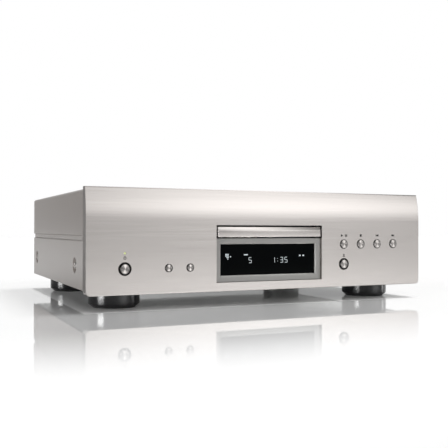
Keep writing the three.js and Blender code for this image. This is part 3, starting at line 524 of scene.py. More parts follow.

# %% [markdown]
# The buttons are turned from the same aluminium, so their faces carry fine rings instead of level streaks.
# Each ring is a tiny groove: it tips the surface towards or away from the button's middle. The finish
# bends the normal in just that way, by a sine of the distance from the middle. The colour is a little
# brighter on the tops of the rings. Above and below the middle it is painted brighter still, a painted
# highlight that draws the familiar fan, and the chamfered rim is painted darker, a painted shade.

# %% Finish: turned champagne
RINGS_PER_MM = 9
RING_TILT = 0.5
PAINTED_RIM_SHADE_WIDTH = 0.5
# what the rings and the ground tone add to the colour, what the painted fan highlight adds, and what the
# painted rim shade takes away
RING_TONE_AND_PAINTED_LIGHT = {"rings": 0.1, "painted_highlight": 0.55, "ground": 0.35, "rim": 0.8}


def turned_champagne(node):
    finish = Finish(node + "_face", Metallic=1.0, Roughness=0.16)
    centre = middle(node)
    x, y, z = finish.split(finish.vector("SUBTRACT", finish.place(), (centre.x, 0, centre.z)))
    radius = (x * x + z * z) ** 0.5 + 0.01
    wave = (radius * (2 * math.pi * RINGS_PER_MM)).sine()
    tilt = wave * RING_TILT / radius
    push = finish.node("ShaderNodeCombineXYZ", {}, {0: x * tilt, 2: z * tilt})
    flat = finish.node("ShaderNodeNewGeometry", output=1)
    cap = BUTTONS[node][0]
    # painted highlight: the colour is brighter above and below the middle, which draws the fan of a turned
    # face
    painted_highlight_mask = (z * z) / (radius * radius)
    # painted shade: the colour of the chamfered rim is darkened, for the dark gap round the cap
    rim = radius.within(cap - 2 * PAINTED_RIM_SHADE_WIDTH, cap - PAINTED_RIM_SHADE_WIDTH)
    bright = wave * RING_TONE_AND_PAINTED_LIGHT["rings"] + painted_highlight_mask * RING_TONE_AND_PAINTED_LIGHT["painted_highlight"] + RING_TONE_AND_PAINTED_LIGHT["ground"]
    bright = bright * (1 - rim * RING_TONE_AND_PAINTED_LIGHT["rim"])
    return finish.vary(
        Base_Color=finish.mix(bright, (0.02, 0.02, 0.02, 1), shade_of(CHAMPAGNE, 1.3)),
        Normal=finish.vector("NORMALIZE", finish.vector("ADD", flat, push)),
    )


# %% [markdown]
# Behind its cap every button has a moulded black collar, which stops it from falling out of the panel, and
# a stem that reaches its switch. Black satin mouldings have a very fine grain, made here with noise and a
# bump.


# %% Finish: satin black moulding
def moulding(name, colour, roughness=0.45):
    finish = Finish(name)
    grain = finish.noise((9, 9, 9), detail=3.0)
    flow = finish.noise((0.05, 0.05, 0.05))
    return finish.vary(
        Base_Color=finish.mix(flow + 0.5, shade_of(colour, 0.85), shade_of(colour, 1.2)),
        Roughness=grain * 0.2 + flow * 0.1 + roughness,
        Normal=finish.bump(grain, 0.3, 0.02),
    )


SATIN_BLACK = (0.022, 0.022, 0.024, 1)
satin_black = moulding("satin_black", SATIN_BLACK)

# %% Buttons
CAP_CHAMFER = 0.45
COLLAR = {"wider": 1.1, "front": 7.3, "thick": 1.1}
STEM_RADIUS = 3
# how deep the face is dished in its middle and half-way out
DISHING = (0.12, 0.03)


def button(node):
    cap, hole = BUTTONS[node]
    low, high = limits(node)
    centre = (middle(node).x, 0, middle(node).z)
    front, back = COLLAR["front"], COLLAR["front"] + COLLAR["thick"]
    deep, shallow = DISHING
    face = [(0, low.y + deep), (cap * 0.5, low.y + shallow), (cap - CAP_CHAMFER, low.y)]
    side = [(cap, low.y + CAP_CHAMFER), (cap, front), (0, front)]
    disc = turned(node + "_cap", face + side, centre, steps=96)
    paint(soften(disc, 0.08, degrees=25), turned_champagne(node))
    collar = [(0, front), (hole + COLLAR["wider"], front), (hole + COLLAR["wider"], back)]
    stem = [(STEM_RADIUS, back), (STEM_RADIUS, high.y), (0, high.y)]
    plunger = paint(soften(turned("plunger", collar + stem, centre), 0.15), satin_black)
    return fit(together(disc, plunger), node, "champagne", node)


buttons = [button(node) for node in BUTTONS]
print("buttons:", len(buttons))

# %% [markdown]
# A light guide carries the glow of a small lamp on the key board to the face, above the power button. Its
# front end is domed. The glow is strongest in the middle of the rod and fades to its rim.

# %% Power light
GLOW = (0.56, 0.60, 0.30, 1)
GLOW_REACH = (0.2, 1.5)
GLOW_FADE = 0.7
DOME = 0.5
DOME_STEPS = 6


def glowing(name, colour, strength, node=None):
    finish = Finish(name, Roughness=0.3, Emission_Strength=strength)
    if node is None:
        speckle = finish.noise((6, 6, 6))
        bright = speckle * 0.3 + 0.85
    else:
        centre = middle(node)
        x, y, z = finish.split(finish.vector("SUBTRACT", finish.place(), (centre.x, 0, centre.z)))
        bright = 1 - ((x * x + z * z) ** 0.5).within(*GLOW_REACH) * GLOW_FADE
    return finish.vary(
        Base_Color=finish.mix(bright, shade_of(colour, 0.3), shade_of(colour, 0.8)),
        Emission_Color=finish.mix(bright, (0, 0, 0, 1), colour),
    )


def power_light():
    low, high = limits("power_light")
    radius = (high.x - low.x) / 2
    angles = [i * math.pi / 2 / DOME_STEPS for i in range(DOME_STEPS + 1)]
    dome = [(radius * math.sin(a), low.y + DOME * (1 - math.cos(a))) for a in angles]
    centre = (middle("power_light").x, 0, middle("power_light").z)
    guide = turned("power_light_guide", dome + [(radius, high.y), (0, high.y)], centre, steps=32)
    soften(guide, 0.05)
    paint(guide, glowing("light_guide", GLOW, 0.9, "power_light"))
    return fit(guide, "chassis", "light_guide", "power_light")


light = power_light()
print("power light:", round(light.dimensions.x * 1000, 1), "mm across")

# %% [markdown]
# The usual signs of a player are printed over its buttons in dark grey ink: a triangle and two bars for
# play and pause, a square for stop, arrows for the skips, a triangle over a bar to open, and a ring with a
# bar for power. An arrow is a cylinder with three sides, and ink is so thin that it stands only two hundredths
# proud of the metal.

# %% Printed signs
INK_DEPTH = 0.02
SIGN_SIZE = 2.9
# how far the signs stand above the middle of their buttons
RISE = {"row": 10.5, "open": 11.2, "power": 11.6}
PLAY = {"triangle": 3.5, "left": 3.2, "bars": (2.2, 4.2), "bar": 1.2}
SKIP = {"arrows": (-1.5, 0.3), "bar": 1.7, "bar_width": 0.5}
OPEN = {"size": 3, "bar": 0.9, "below": 2}
POWER = {"inner": 1.0, "outer": 1.6, "stroke": (0.6, 2)}


def ink():
    finish = Finish("printing_ink", Roughness=0.6, Specular_IOR_Level=0.2)
    cover = finish.noise((3, 3, 3), detail=3.0)
    return finish.vary(Base_Color=finish.mix(cover + 0.5, (0.012, 0.012, 0.012, 1), (0.035, 0.034, 0.033, 1)))


printing_ink = ink()


def triangle(x, z, size, turn):
    """Points right at turn 0 and up at 90 degrees."""
    clear_selection()
    bpy.ops.mesh.primitive_cylinder_add(
        vertices=3,
        radius=size / math.sqrt(3) * MM,
        depth=2 * INK_DEPTH * MM,
        location=at(x, 0, z),
        rotation=(math.radians(90), math.radians(90 - turn), 0),
    )
    piece = bpy.context.object
    bpy.ops.object.transform_apply(location=True, rotation=True, scale=True)
    return piece


def bar(x, z, width, height):
    return box("bar", (x - width / 2, -INK_DEPTH, z - height / 2), (x + width / 2, INK_DEPTH, z + height / 2))


def skip_sign(x, z, way):
    turn = 0 if way > 0 else 180
    arrows = [triangle(x + way * step, z, SIGN_SIZE, turn) for step in SKIP["arrows"]]
    return arrows + [bar(x + way * SKIP["bar"], z, SKIP["bar_width"], SIGN_SIZE)]


def power_sign(x, z):
    inner, outer = POWER["inner"], POWER["outer"]
    section = [(r, y * INK_DEPTH) for r, y in ((inner, -1), (outer, -1), (outer, 1), (inner, 1), (inner, -1))]
    return [turned("ring", section, (x, 0, z), steps=36), bar(x, z + 1, *POWER["stroke"])]


def printed_signs():
    play = middle("play_pause_button")
    row = play.z + RISE["row"]
    eject = middle("open_close_button")
    power = middle("power_button")
    marks = [triangle(play.x - PLAY["left"], row, PLAY["triangle"], 0)]
    marks += [bar(play.x + step, row, PLAY["bar"], SIGN_SIZE) for step in PLAY["bars"]]
    marks += [bar(middle("stop_button").x, row, SIGN_SIZE, SIGN_SIZE)]
    marks += skip_sign(middle("skip_back_button").x, row, -1)
    marks += skip_sign(middle("skip_forward_button").x, row, 1)
    top = eject.z + RISE["open"]
    marks += [triangle(eject.x, top, OPEN["size"], 90)]
    marks += [bar(eject.x, top - OPEN["below"], OPEN["size"], OPEN["bar"])]
    marks += power_sign(power.x, power.z + RISE["power"])
    for mark in marks:
        paint(mark, printing_ink)
    signs = together(*marks)
    signs.name = signs.data.name = "printed_signs"
    return fit(signs, "chassis", "satin_black")


signs = printed_signs()
print("printed signs:", len(signs.data.polygons), "faces")

# %% [markdown]
# The tray's door is a bar of the same aluminium, 135 mm wide. Its upper third leans back a little and so
# looks lighter. The lean is one level cut and one move of the top front edge.

# %% Tray door
DOOR_BEND = 86.2
DOOR_LEAN = 1.6


def tray_door():
    low, high = limits("tray_door")
    door = box("tray_door_front", low, high)
    with Editing(door) as edit:
        edit.everything()
        bpy.ops.mesh.bisect(plane_co=at(0, 0, DOOR_BEND), plane_no=(0, 0, 1))
        edit.points(lambda p: p.z > high.z - TINY and p.y < low.y + TINY)
        bpy.ops.transform.translate(value=(0, DOOR_LEAN * MM, 0))
    soften(door, 0.35, segments=3, degrees=15)
    return fit(paint(door, champagne), "tray", "champagne", "tray_door")


door = tray_door()
print("tray door:", [round(size * 1000, 1) for size in door.dimensions], "mm")

# %% [markdown]
# The display sits in a grey metallic frame, set back in the same opening as the door. The frame is a plate
# with its window cut out, and the four edges round the window are bevelled by 1.5 mm, so that they lead
# the eye in. Metallic paint shows a very fine sparkle, which comes from small noise in its roughness.

# %% Finish: painted metal
SILVER_FRAME = (0.30, 0.295, 0.285, 1)


def painted(name, colour, metallic, roughness, peel=0.02):
    finish = Finish(name, Metallic=metallic)
    flakes = finish.noise((14, 14, 14), detail=2.0)
    orange_peel = finish.noise((1.3, 1.3, 1.3), detail=2.0)
    tone = finish.noise((0.02, 0.02, 0.02))
    cloud = flakes * 0.6 + tone * 0.4 + 0.5
    return finish.vary(
        Base_Color=finish.mix(cloud, shade_of(colour, 0.93), shade_of(colour, 1.07)),
        Roughness=flakes * 0.16 + roughness,
        Normal=finish.bump(orange_peel + flakes * 0.4, 0.25, peel),
    )


silver_frame = painted("silver_frame", SILVER_FRAME, 0.5, 0.42)

# %% Display frame
WINDOW = {"side": 62.5, "low": 34.8, "high": 70.3}
FRAME_BEVEL = 1.5
# the gap round the frame, and how much wider the opening is behind the window's edge
FRAME_GAP = 0.3
FLANGE_STEP = 1.6


def display_frame():
    low, high = limits("display_bezel")
    side = OPENING["side"] - FRAME_GAP
    bottom = OPENING["low"] + FRAME_GAP
    plate = box("display_frame", (-side, low.y, bottom), (side, PANEL_WALL - 0.5, high.z))
    reach = WINDOW["side"]
    window = box("cutter", (-reach, -1, WINDOW["low"]), (reach, THROUGH, WINDOW["high"]))
    take_away(plate, window)
    with Editing(plate) as edit:
        edit.edges(
            lambda a, b: max(a.y, b.y) < low.y + TINY
            and max(abs(a.x), abs(b.x)) < reach + TINY
            and min(a.z, b.z) > WINDOW["low"] - TINY
            and max(a.z, b.z) < WINDOW["high"] + TINY
        )
        bpy.ops.mesh.bevel(offset=FRAME_BEVEL * MM, segments=1, affect="EDGES")
    soften(plate, 0.15, degrees=25)
    flange = box("flange", (low.x, PANEL_WALL + FRAME_GAP, low.z), high)
    reach += FLANGE_STEP
    bottom, top = WINDOW["low"] - FLANGE_STEP, WINDOW["high"] + FLANGE_STEP
    hole = box("cutter", (-reach, 0, bottom), (reach, THROUGH, top))
    take_away(flange, hole)
    for shell in (plate, flange):
        paint(shell, silver_frame)
    return fit(together(plate, flange), "chassis", "silver_frame", "display_bezel")


display_frame()

# %% [markdown]
# The window is a plate of dark tinted plastic, polished so that it mirrors the room faintly. Its digits
# seem to glow through it. Seven bars make any digit, so a digit is a choice of bars, and each bar is a
# thin lit plate on the window's face.

# %% Display window
WINDOW_TINT = (0.001, 0.0014, 0.0016, 1)


def dark_window():
    finish = Finish("dark_window", Specular_IOR_Level=0.04)
    haze = finish.noise((0.03, 0.03, 0.03))
    return finish.vary(
        Base_Color=finish.mix(haze + 0.5, shade_of(WINDOW_TINT, 0.7), shade_of(WINDOW_TINT, 1.6)),
        Roughness=haze * 0.05 + 0.09,
    )


def display_window():
    low, high = limits("display_window")
    plate = soften(box("display_window_plate", low, high), 0.2)
    return fit(paint(plate, dark_window()), "chassis", "dark_window", "display_window")


display_window()

# %% Lit digits
DISPLAY_GLOW = (0.5, 0.56, 0.58, 1)
DIGIT = {"width": 3.4, "height": 6.0, "bar": 0.5}
LIT_DEPTH = 0.05
# a lit digit is a character and the place of its middle; a lit mark is the place of its middle and its size
LIT_DIGITS = [("5", -24, 51.7), ("1", 6.5, 51.4), ("3", 17.5, 51.4), ("5", 23.5, 51.4)]
LIT_MARKS = [(12.2, 52.8, 0.6, 0.6), (12.2, 50, 0.6, 0.6), (-29.6, 58, 5, 1.2)]
LIT_MARKS += [(42.6, 56.2, 2.2, 1.6), (47.3, 56.2, 2.2, 1.6), (-49.2, 56, 1.2, 1.3), (-52.6, 53.4, 1.2, 1.2)]
LIT_GRID = {"x": -55.2, "z": 58.6, "across": 1.5, "down": 1.7, "size": (1.2, 1.3), "columns": (2, 3, 3)}
# the bars of each digit: top, upper left, upper right, middle, lower left, lower right, bottom
BARS = {"1": "0010010", "3": "1011011", "5": "1101011"}


def lit(x, z, width, height):
    front = limits("display_window")[0].y
    half = (width / 2, height / 2)
    low = (x - half[0], front - LIT_DEPTH, z - half[1])
    return box("lit", low, (x + half[0], front + LIT_DEPTH, z + half[1]))


def digit(character, x, z):
    wide, high, thick = DIGIT["width"], DIGIT["height"], DIGIT["bar"]
    level = [(0, high / 2), (-wide / 2, high / 4), (wide / 2, high / 4), (0, 0)]
    level += [(-wide / 2, -high / 4), (wide / 2, -high / 4), (0, -high / 2)]
    bars = []
    for (dx, dz), on in zip(level, BARS[character]):
        if on == "1":
            size = (wide - thick, thick) if dx == 0 else (thick, high / 2 - thick * 0.6)
            bars.append(lit(x + dx, z + dz, *size))
    return bars


def lit_display():
    marks = [part for digit_and_place in LIT_DIGITS for part in digit(*digit_and_place)]
    marks += [lit(*mark) for mark in LIT_MARKS]
    for column, rows in enumerate(LIT_GRID["columns"]):
        x = LIT_GRID["x"] + LIT_GRID["across"] * column
        marks += [lit(x, LIT_GRID["z"] - LIT_GRID["down"] * row, *LIT_GRID["size"]) for row in range(rows)]
    glow = glowing("display_glow", DISPLAY_GLOW, 0.8)
    for mark in marks:
        paint(mark, glow)
    display = together(*marks)
    display.name = display.data.name = "lit_digits"
    return fit(display, "chassis", "tube_glass")


display = lit_display()
print("lit bars:", len(display.data.polygons) // 6)

# %% [markdown]
# One folded steel sheet makes the top and both sides. Its section is drawn as a line from the right lower
# edge, over the top, to the left lower edge, with the groove that is rolled along each side and a quarter
# circle at each long bend. The line is extruded to the back and the sheet is then thickened inwards.

# %% Finish: cover paint
COVER_PAINT = (0.17, 0.152, 0.141, 1)

cover_paint = painted("cover_paint", COVER_PAINT, 0.0, 0.3, peel=0.012)

# %% Cover
STEEL = 1.2
BEND = 3.2
BEND_STEPS = 8
GROOVE = {"low": 74, "high": 80.8, "depth": 1.6}
DISH = {"mouth": 9, "floor": 6, "depth": 2.3}
SCREW_HOLE = 2.3
HOLE_REACH = 9
COVER_SCREWS = [f"cover_screw_{end}_{side}" for end in ("front", "rear") for side in ("left", "right")]


def cover_side(x, bottom, top):
    depth = GROOVE["depth"]
    groove = [(x, GROOVE["low"]), (x - depth, GROOVE["low"] + depth)]
    groove += [(x - depth, GROOVE["high"] - depth / 2), (x, GROOVE["high"])]
    angles = [i * math.pi / 2 / BEND_STEPS for i in range(BEND_STEPS + 1)]
    bend = [(x - BEND * (1 - math.cos(a)), top - BEND * (1 - math.sin(a))) for a in angles]
    return [(x, bottom), *groove, *bend]


def place_of_screw(name):
    """The middle of the dish round a cover screw, on the cover's side, and the way out."""
    centre = middle(name)
    hand = 1 if centre.x > 0 else -1
    return hand, (0, centre.y, centre.z)


def top_cover():
    low, high = limits("top_cover")
    right = cover_side(high.x, low.z, high.z)
    section = right + [(-x, z) for x, z in reversed(right)]
    cover = folded_sheet("cover_sheet", section, low.y, high.y, STEEL)
    face = high.x
    mouth, floor, depth = DISH["mouth"], DISH["floor"], DISH["depth"]
    boss = [(0, face - depth - STEEL), (floor + 1, face - depth - STEEL), (mouth + 1, face - STEEL / 2)]
    boss.append((0, face - STEEL / 2))
    bowl = [(0, face - depth), (floor, face - depth), (mouth, face), (mouth, face + 1), (0, face + 1)]
    for name in COVER_SCREWS:
        hand, centre = place_of_screw(name)
        outer, inner = ([(r, hand * x) for r, x in profile] for profile in (boss, bowl))
        near, far = hand * (face - HOLE_REACH), hand * (face + 1)
        hole = drum("cutter", SCREW_HOLE, near, far, centre, "X", steps=24)
        add_on(cover, turned("addition", outer, centre, "X"))
        take_away(cover, turned("cutter", inner, centre, "X"), hole)
    soften(cover, 0.3, degrees=20, smooth=30)
    return fit(paint(cover, cover_paint), "chassis", "cover_paint", "top_cover")


cover = top_cover()
print("cover:", [round(size * 1000, 1) for size in cover.dimensions], "mm")

# %% [markdown]
# Each side is held by two pan-headed screws with a cross recess. A screw is turned in one piece, and its
# cross is two thin cutters. Plated steel is bright, and its wear shows as faint clouds.

# %% Finish: plated screw steel
def plated(name, colour, roughness=0.22):
    finish = Finish(name, Metallic=1.0)
    wear = finish.noise((1.5, 1.5, 1.5), detail=4.0)
    return finish.vary(
        Base_Color=finish.mix(wear + 0.5, shade_of(colour, 0.88), shade_of(colour, 1.1)),
        Roughness=wear * 0.14 + roughness,
        Normal=finish.bump(wear, 0.2, 0.01),
    )


SCREW_STEEL = (0.52, 0.50, 0.48, 1)
screw_steel = plated("screw_steel", SCREW_STEEL, 0.3)

# %% Screws
# the cross recess of a screw whose head has a radius of 4; it grows with the head
RECESS = {"length": 4.2, "width": 0.9, "depth": 1.3}
ARC_STEPS = 6
COVER_SCREW_HEAD = {"radius": 4.1, "height": 2.1}


def screw(name, head, top, length, centre, axis, way, shank=1.9, dome=0.9):
    """A pan-headed screw whose head stands from 0 to its top, out along the axis by the way, 1 or -1."""
    angles = [i * math.pi / 2 / ARC_STEPS for i in range(1, ARC_STEPS)]
    arc = [(head * math.cos(a), top - dome + dome * math.sin(a)) for a in angles]
    profile = [(0, -length), (shank, -length), (shank, 0), (head, 0), (head, top - dome), *arc, (0, top)]
    piece = turned(name, [(r, way * d) for r, d in profile], centre, axis, steps=40)
    deep = top - RECESS["depth"] * head / 4
    half, width = RECESS["length"] * head / 8, RECESS["width"] * head / 8
    for first, second in ((half, width), (width, half)):
        spans = {"X": (None, first, second), "Y": (first, None, second), "Z": (first, second, None)}[axis]
        along = sorted((way * deep, way * (top + 1)))
        low = [along[0] if span is None else -span for span in spans]
        high = [along[1] if span is None else span for span in spans]
        take_away(piece, box("cutter", Vector(centre) + Vector(low), Vector(centre) + Vector(high)))
    soften(piece, 0.06, segments=1)
    return paint(piece, screw_steel)


def cover_screw(name):
    low, high = limits(name)
    hand, centre = place_of_screw(name)
    radius, height = COVER_SCREW_HEAD["radius"], COVER_SCREW_HEAD["height"]
    seat = (high.x if hand > 0 else -low.x) - height
    length = (high.x - low.x) - height
    piece = screw(name + "_pan", radius, height, length, (hand * seat, centre[1], centre[2]), "X", hand)
    return fit(piece, "chassis", "screw_steel", name)


for name in COVER_SCREWS:
    cover_screw(name)

# %% [markdown]
# The feet are polished black mouldings, 58 mm across. Each is turned, with a chamfer near the shelf and a
# lip at the top. Underneath, a rubber ring grips the shelf, round the deep hole of the screw that holds
# the foot.

# %% Finish: gloss black and rubber
GLOSS_BLACK = (0.006, 0.006, 0.007, 1)
RUBBER = (0.02, 0.02, 0.02, 1)


def gloss_black():
    finish = Finish("gloss_black", Specular_IOR_Level=0.8, Anisotropic=0.8, Anisotropic_Rotation=0.25)
    haze = finish.noise((0.08, 0.08, 0.08), detail=3.0)
    dust = finish.noise((4, 4, 4), detail=2.0)
    return finish.vary(
        Base_Color=finish.mix(haze + 0.5, shade_of(GLOSS_BLACK, 0.7), shade_of(GLOSS_BLACK, 1.5)),
        Roughness=haze * 0.06 + dust * 0.04 + 0.25,
        Normal=finish.bump(haze, 0.1, 0.1),
    )


polished_black = gloss_black()
black_rubber = moulding("black_rubber", RUBBER, roughness=0.75)

# %% Feet
FOOT = {"base": 25, "chamfer": 4.6, "lip": 1.5, "well": 8, "web": 6, "pad": (14, 24), "pad_height": 0.8}
FOOT_SCREW = {"radius": 4, "height": 2, "length": 2}
FEET = [f"foot_{end}_{side}" for end in ("front", "rear") for side in ("left", "right")]


def foot(name):
    low, high = limits(name)
    radius = (high.x - low.x) / 2
    centre = (middle(name).x, middle(name).y, 0)
    lift = FOOT["pad_height"]
    seat = high.z - FOOT["web"]
    well = [(0, seat), (FOOT["well"], seat), (FOOT["well"], lift)]
    base = [(FOOT["base"] - 0.4, lift), (FOOT["base"], lift + 0.3), (radius - 0.3, FOOT["chamfer"] - 0.5)]
    side = [(radius, FOOT["chamfer"] + 0.4), (radius, high.z - FOOT["lip"])]
    top = [(radius - 1.4, high.z), (0, high.z)]
    body = turned(name + "_body", well + base + side + top, centre, "Z", 96)
    paint(soften(body, 0.25, 3), polished_black)
    inner, outer = FOOT["pad"]
    ring = [(inner, 0.2), (inner + 0.2, 0), (outer - 0.2, 0), (outer, 0.2), (outer, lift), (inner, lift)]
    pad = paint(soften(turned("pad", ring + ring[:1], centre, "Z", 72), 0.05), black_rubber)
    holder = screw("foot_screw", *FOOT_SCREW.values(), (centre[0], centre[1], seat), "Z", -1)
    return fit(together(body, pad, holder), "chassis", "gloss_black", name)


for name in FEET:
    foot(name)
print("feet:", len(FEET), "screws:", len(COVER_SCREWS) + len(FEET))

# %% [markdown]
# The tray is a black moulding with two steps for the two sizes of disc, a hole for the turntable and a
# slot for the pickup. It starts as a plate, the steps are turned cutters, and a toothed rack runs under
# its left edge: one tooth is modelled, and an Array modifier repeats it at the pitch of the gears.

# %% Tray
TRAY = {"front": 7, "back": 184, "floor": 83.6, "rim": 88, "seat": 85.2, "runner": 3.5}
DISC = {"y": 74, "large": 61, "small": 41, "hub": 22, "slot_side": 19, "slot_end": 142}
RACK = {"line": -55, "back": 5, "pitch": 1.5 * math.pi, "depth": 2.8, "low": 78, "first": 12.08}


def rack():
    pitch, line_x, depth = RACK["pitch"], RACK["line"], RACK["depth"]
    root = line_x - depth * 0.57
    half = pitch / 3.6
    start, end = RACK["first"] - half, RACK["first"] + half
    tooth = box("tooth", (root - 0.1, start, RACK["low"]), (line_x + 1.2, end, TRAY["floor"]))
    with Editing(tooth) as edit:
        edit.faces(lambda centre, normal: normal.x > 0.9)
        bpy.ops.transform.resize(value=(1, 0.45, 1), center_override=at(line_x, RACK["first"], 0))
    repeat(tooth, int((TRAY["back"] - 4 - RACK["first"]) / pitch), (0, pitch, 0))
    back = line_x - RACK["back"]
    spine = box("rack_bar", (back, TRAY["front"] + 1, RACK["low"]), (root, TRAY["back"] - 1, TRAY["floor"]))
    return together(spine, tooth)


def disc_tray():
    low, high = limits("disc_tray")
    side = high.x
    plate = box("disc_tray_moulding", (-side, low.y, TRAY["floor"]), (side, high.y, TRAY["rim"]))
    centre = (0, DISC["y"], 0)
    up = TRAY["rim"] + 1
    slope = 0.6
    large = [(0, TRAY["seat"]), (DISC["large"] - slope, TRAY["seat"]), (DISC["large"], TRAY["rim"])]
    large += [(DISC["large"], up), (0, up)]
    small = [(0, TRAY["seat"] - 0.7), (DISC["small"] - 0.3, TRAY["seat"] - 0.7), (DISC["small"], up), (0, up)]
    large_step = turned("cutter", large, centre, "Z", 128)
    small_step = turned("cutter", small, centre, "Z", 96)
    hub = drum("cutter", DISC["hub"], TRAY["floor"] - 1, up, centre, "Z", 72)
    reach = DISC["slot_side"]
    slot = box("cutter", (-reach, DISC["y"], TRAY["floor"] - 1), (reach, DISC["slot_end"], up))
    with Editing(slot) as edit:
        edit.edges(lambda a, b: abs(a.z - b.z) > 1 and a.y > DISC["slot_end"] - 1)
        bpy.ops.mesh.bevel(offset=5 * MM, segments=6, affect="EDGES")
    take_away(plate, large_step, small_step, hub, slot)
    soften(plate, 0.3)
    shells = [plate, rack()]
    for hand in (-1, 1):
        edges = sorted((hand * side, hand * (side - TRAY["runner"])))
        shells.append(soften(box("runner", (edges[0], low.y, 80), (edges[1], high.y, TRAY["floor"])), 0.3))
    shells.append(soften(box("nose", (-side, low.y, 80), (side, low.y + 2, TRAY["floor"])), 0.2))
    for shell in shells:
        paint(shell, satin_black)
    return fit(together(*shells), "tray", "satin_black", "disc_tray")


tray = disc_tray()
print("tray:", [round(size * 1000, 1) for size in tray.dimensions], "mm")

# %% [markdown]
# Everything stands on a folded steel tray, seen from below: a flat floor with two rows of cooling slots,
# and low sides behind the cover's. Zinc plating is grey and cloudy, with a fine rolled grain.

# %% Finish: zinc-plated steel
ZINC = (0.56, 0.57, 0.56, 1)


def zinc_plate():
    finish = Finish("zinc_plate", Metallic=1.0)
    clouds = finish.noise((0.09, 0.09, 0.09), detail=5.0, roughness=0.6)
    grain = finish.noise((0.6, 8, 8), detail=2.0)
    return finish.vary(
        Base_Color=finish.mix(clouds + 0.5, shade_of(ZINC, 0.75), shade_of(ZINC, 1.15)),
        Roughness=clouds * 0.25 + grain * 0.08 + 0.42,
        Normal=finish.bump(grain, 0.2, 0.01),
    )


zinc = zinc_plate()

# %% Chassis
CHASSIS_SIDE_TOP = 58
SLOTS = {"rows": (110, 215), "across": 12, "apart": 9, "length": 28, "width": 3.2}
POSTS = [(-195, 140), (-100, 140), (-195, 312), (-100, 312), (25, 312), (195, 312), (195, 60), (100, 60)]
POST = {"radius": 4, "top": 45.7}


def chassis_tray():
    low, high = limits("bottom_chassis")
    section = [(high.x, CHASSIS_SIDE_TOP), (high.x, low.z), (low.x, low.z), (low.x, CHASSIS_SIDE_TOP)]
    tray = folded_sheet("chassis_tray", section, low.y, high.y, STEEL)
    cutters = []
    for y in SLOTS["rows"]:
        slot = box("cutter", (-1.6, y, low.z - 2), (1.6, y + SLOTS["length"], low.z + 4))
        with Editing(slot) as edit:
            edit.edges(lambda a, b: abs(a.z - b.z) > 1)
            bpy.ops.mesh.bevel(offset=SLOTS["width"] * 0.48 * MM, segments=4, affect="EDGES")
            edit.everything()
            shift = -SLOTS["apart"] * (SLOTS["across"] - 1) / 2
            bpy.ops.transform.translate(value=(shift * MM, 0, 0))
        repeat(slot, SLOTS["across"], (SLOTS["apart"], 0, 0))
        cutters.append(slot)
    for name in COVER_SCREWS:
        hand, centre = place_of_screw(name)
        near, far = sorted((hand * (high.x - HOLE_REACH), hand * (high.x + HOLE_REACH)))
        cutters.append(drum("cutter", SCREW_HOLE, near, far, centre, "X", steps=20))
    take_away(tray, *cutters)
    soften(tray, 0.25)
    floor = low.z + STEEL
    posts = [drum("post", POST["radius"], floor - 0.5, POST["top"], (x, y, 0), "Z", 24) for x, y in POSTS]
    for post in posts:
        soften(post, 0.3)
    for shell in (tray, *posts):
        paint(shell, zinc)
    return fit(together(tray, *posts), "chassis", "zinc_steel", "bottom_chassis")


chassis = chassis_tray()
print("chassis:", [round(size * 1000, 1) for size in chassis.dimensions], "mm")

# %% [markdown]
# The rear panel is a flat black plate with the connectors' openings and a row of small screws. Its paint
# is a textured powder coat: the bump is coarser than the cover's, and there is no metal in it.

# %% Rear panel
REAR_PAINT = (0.022, 0.022, 0.023, 1)
REAR_SCREWS = [(x, 122) for x in (-205, -100, 0, 100, 205)] + [(x, 34) for x in (-205, -100, 25, 205)]
REAR_SCREW = {"radius": 2.9, "height": 1.8, "length": 5}
JACKS = {"analog_output_left": "white", "analog_output_right": "red", "coaxial_output": "orange"}
JACK_BODY = 5.2
JACK_GAP = 0.3
MAINS = {"width": 26, "height": 18, "flange": (6, 4)}

rear_paint = painted("rear_paint", REAR_PAINT, 0.0, 0.5, peel=0.12)


def rear_panel():
    low, high = limits("rear_panel")
    plate = box("rear_plate", low, high)
    cutters = [drum("cutter", JACK_BODY + JACK_GAP, -THROUGH, THROUGH, middle(name)) for name in JACKS]
    optical, remote, mains = middle("optical_output"), middle("remote_jacks"), middle("mains_inlet")
    windows = [(optical, 7.3, 6.3), (remote, 12.3, 5.3)]
    windows.append((mains, MAINS["width"] / 2 + 2.3, MAINS["height"] / 2 + 2.3))
    for centre, wide, tall in windows:
        near = (centre.x - wide, low.y - 5, centre.z - tall)
        far = (centre.x + wide, high.y + 5, centre.z + tall)
        cutters.append(box("cutter", near, far))
    take_away(plate, *cutters)
    paint(soften(plate, 0.2), rear_paint)
    places = [(x, high.y, z) for x, z in REAR_SCREWS]
    screws = [screw("rear_screw", *REAR_SCREW.values(), place, "Y", 1, shank=1.4) for place in places]
    return fit(together(plate, *screws), "chassis", "rear_paint", "rear_panel")


rear = rear_panel()
print("rear panel and screws:", len(rear.data.polygons), "faces")

# %% [markdown]
# The phono jacks are gold-plated barrels on a six-sided nut, each round a coloured insulator: white and
# red for the two analog channels, orange for the digital one. The nut is a cylinder with six sides.

# %% Phono jacks
GOLD = (0.83, 0.61, 0.27, 1)
INSULATORS = {"white": (0.75, 0.74, 0.7, 1), "red": (0.45, 0.02, 0.02, 1), "orange": (0.7, 0.2, 0.02, 1)}
BARREL = {"radius": 4.15, "bore": 3.4, "hole": 1.7, "depth": 6}
NUT = {"radius": 6.5, "thick": 2, "out": 1.3}

gold_plate = plated("gold_plate", GOLD, 0.2)


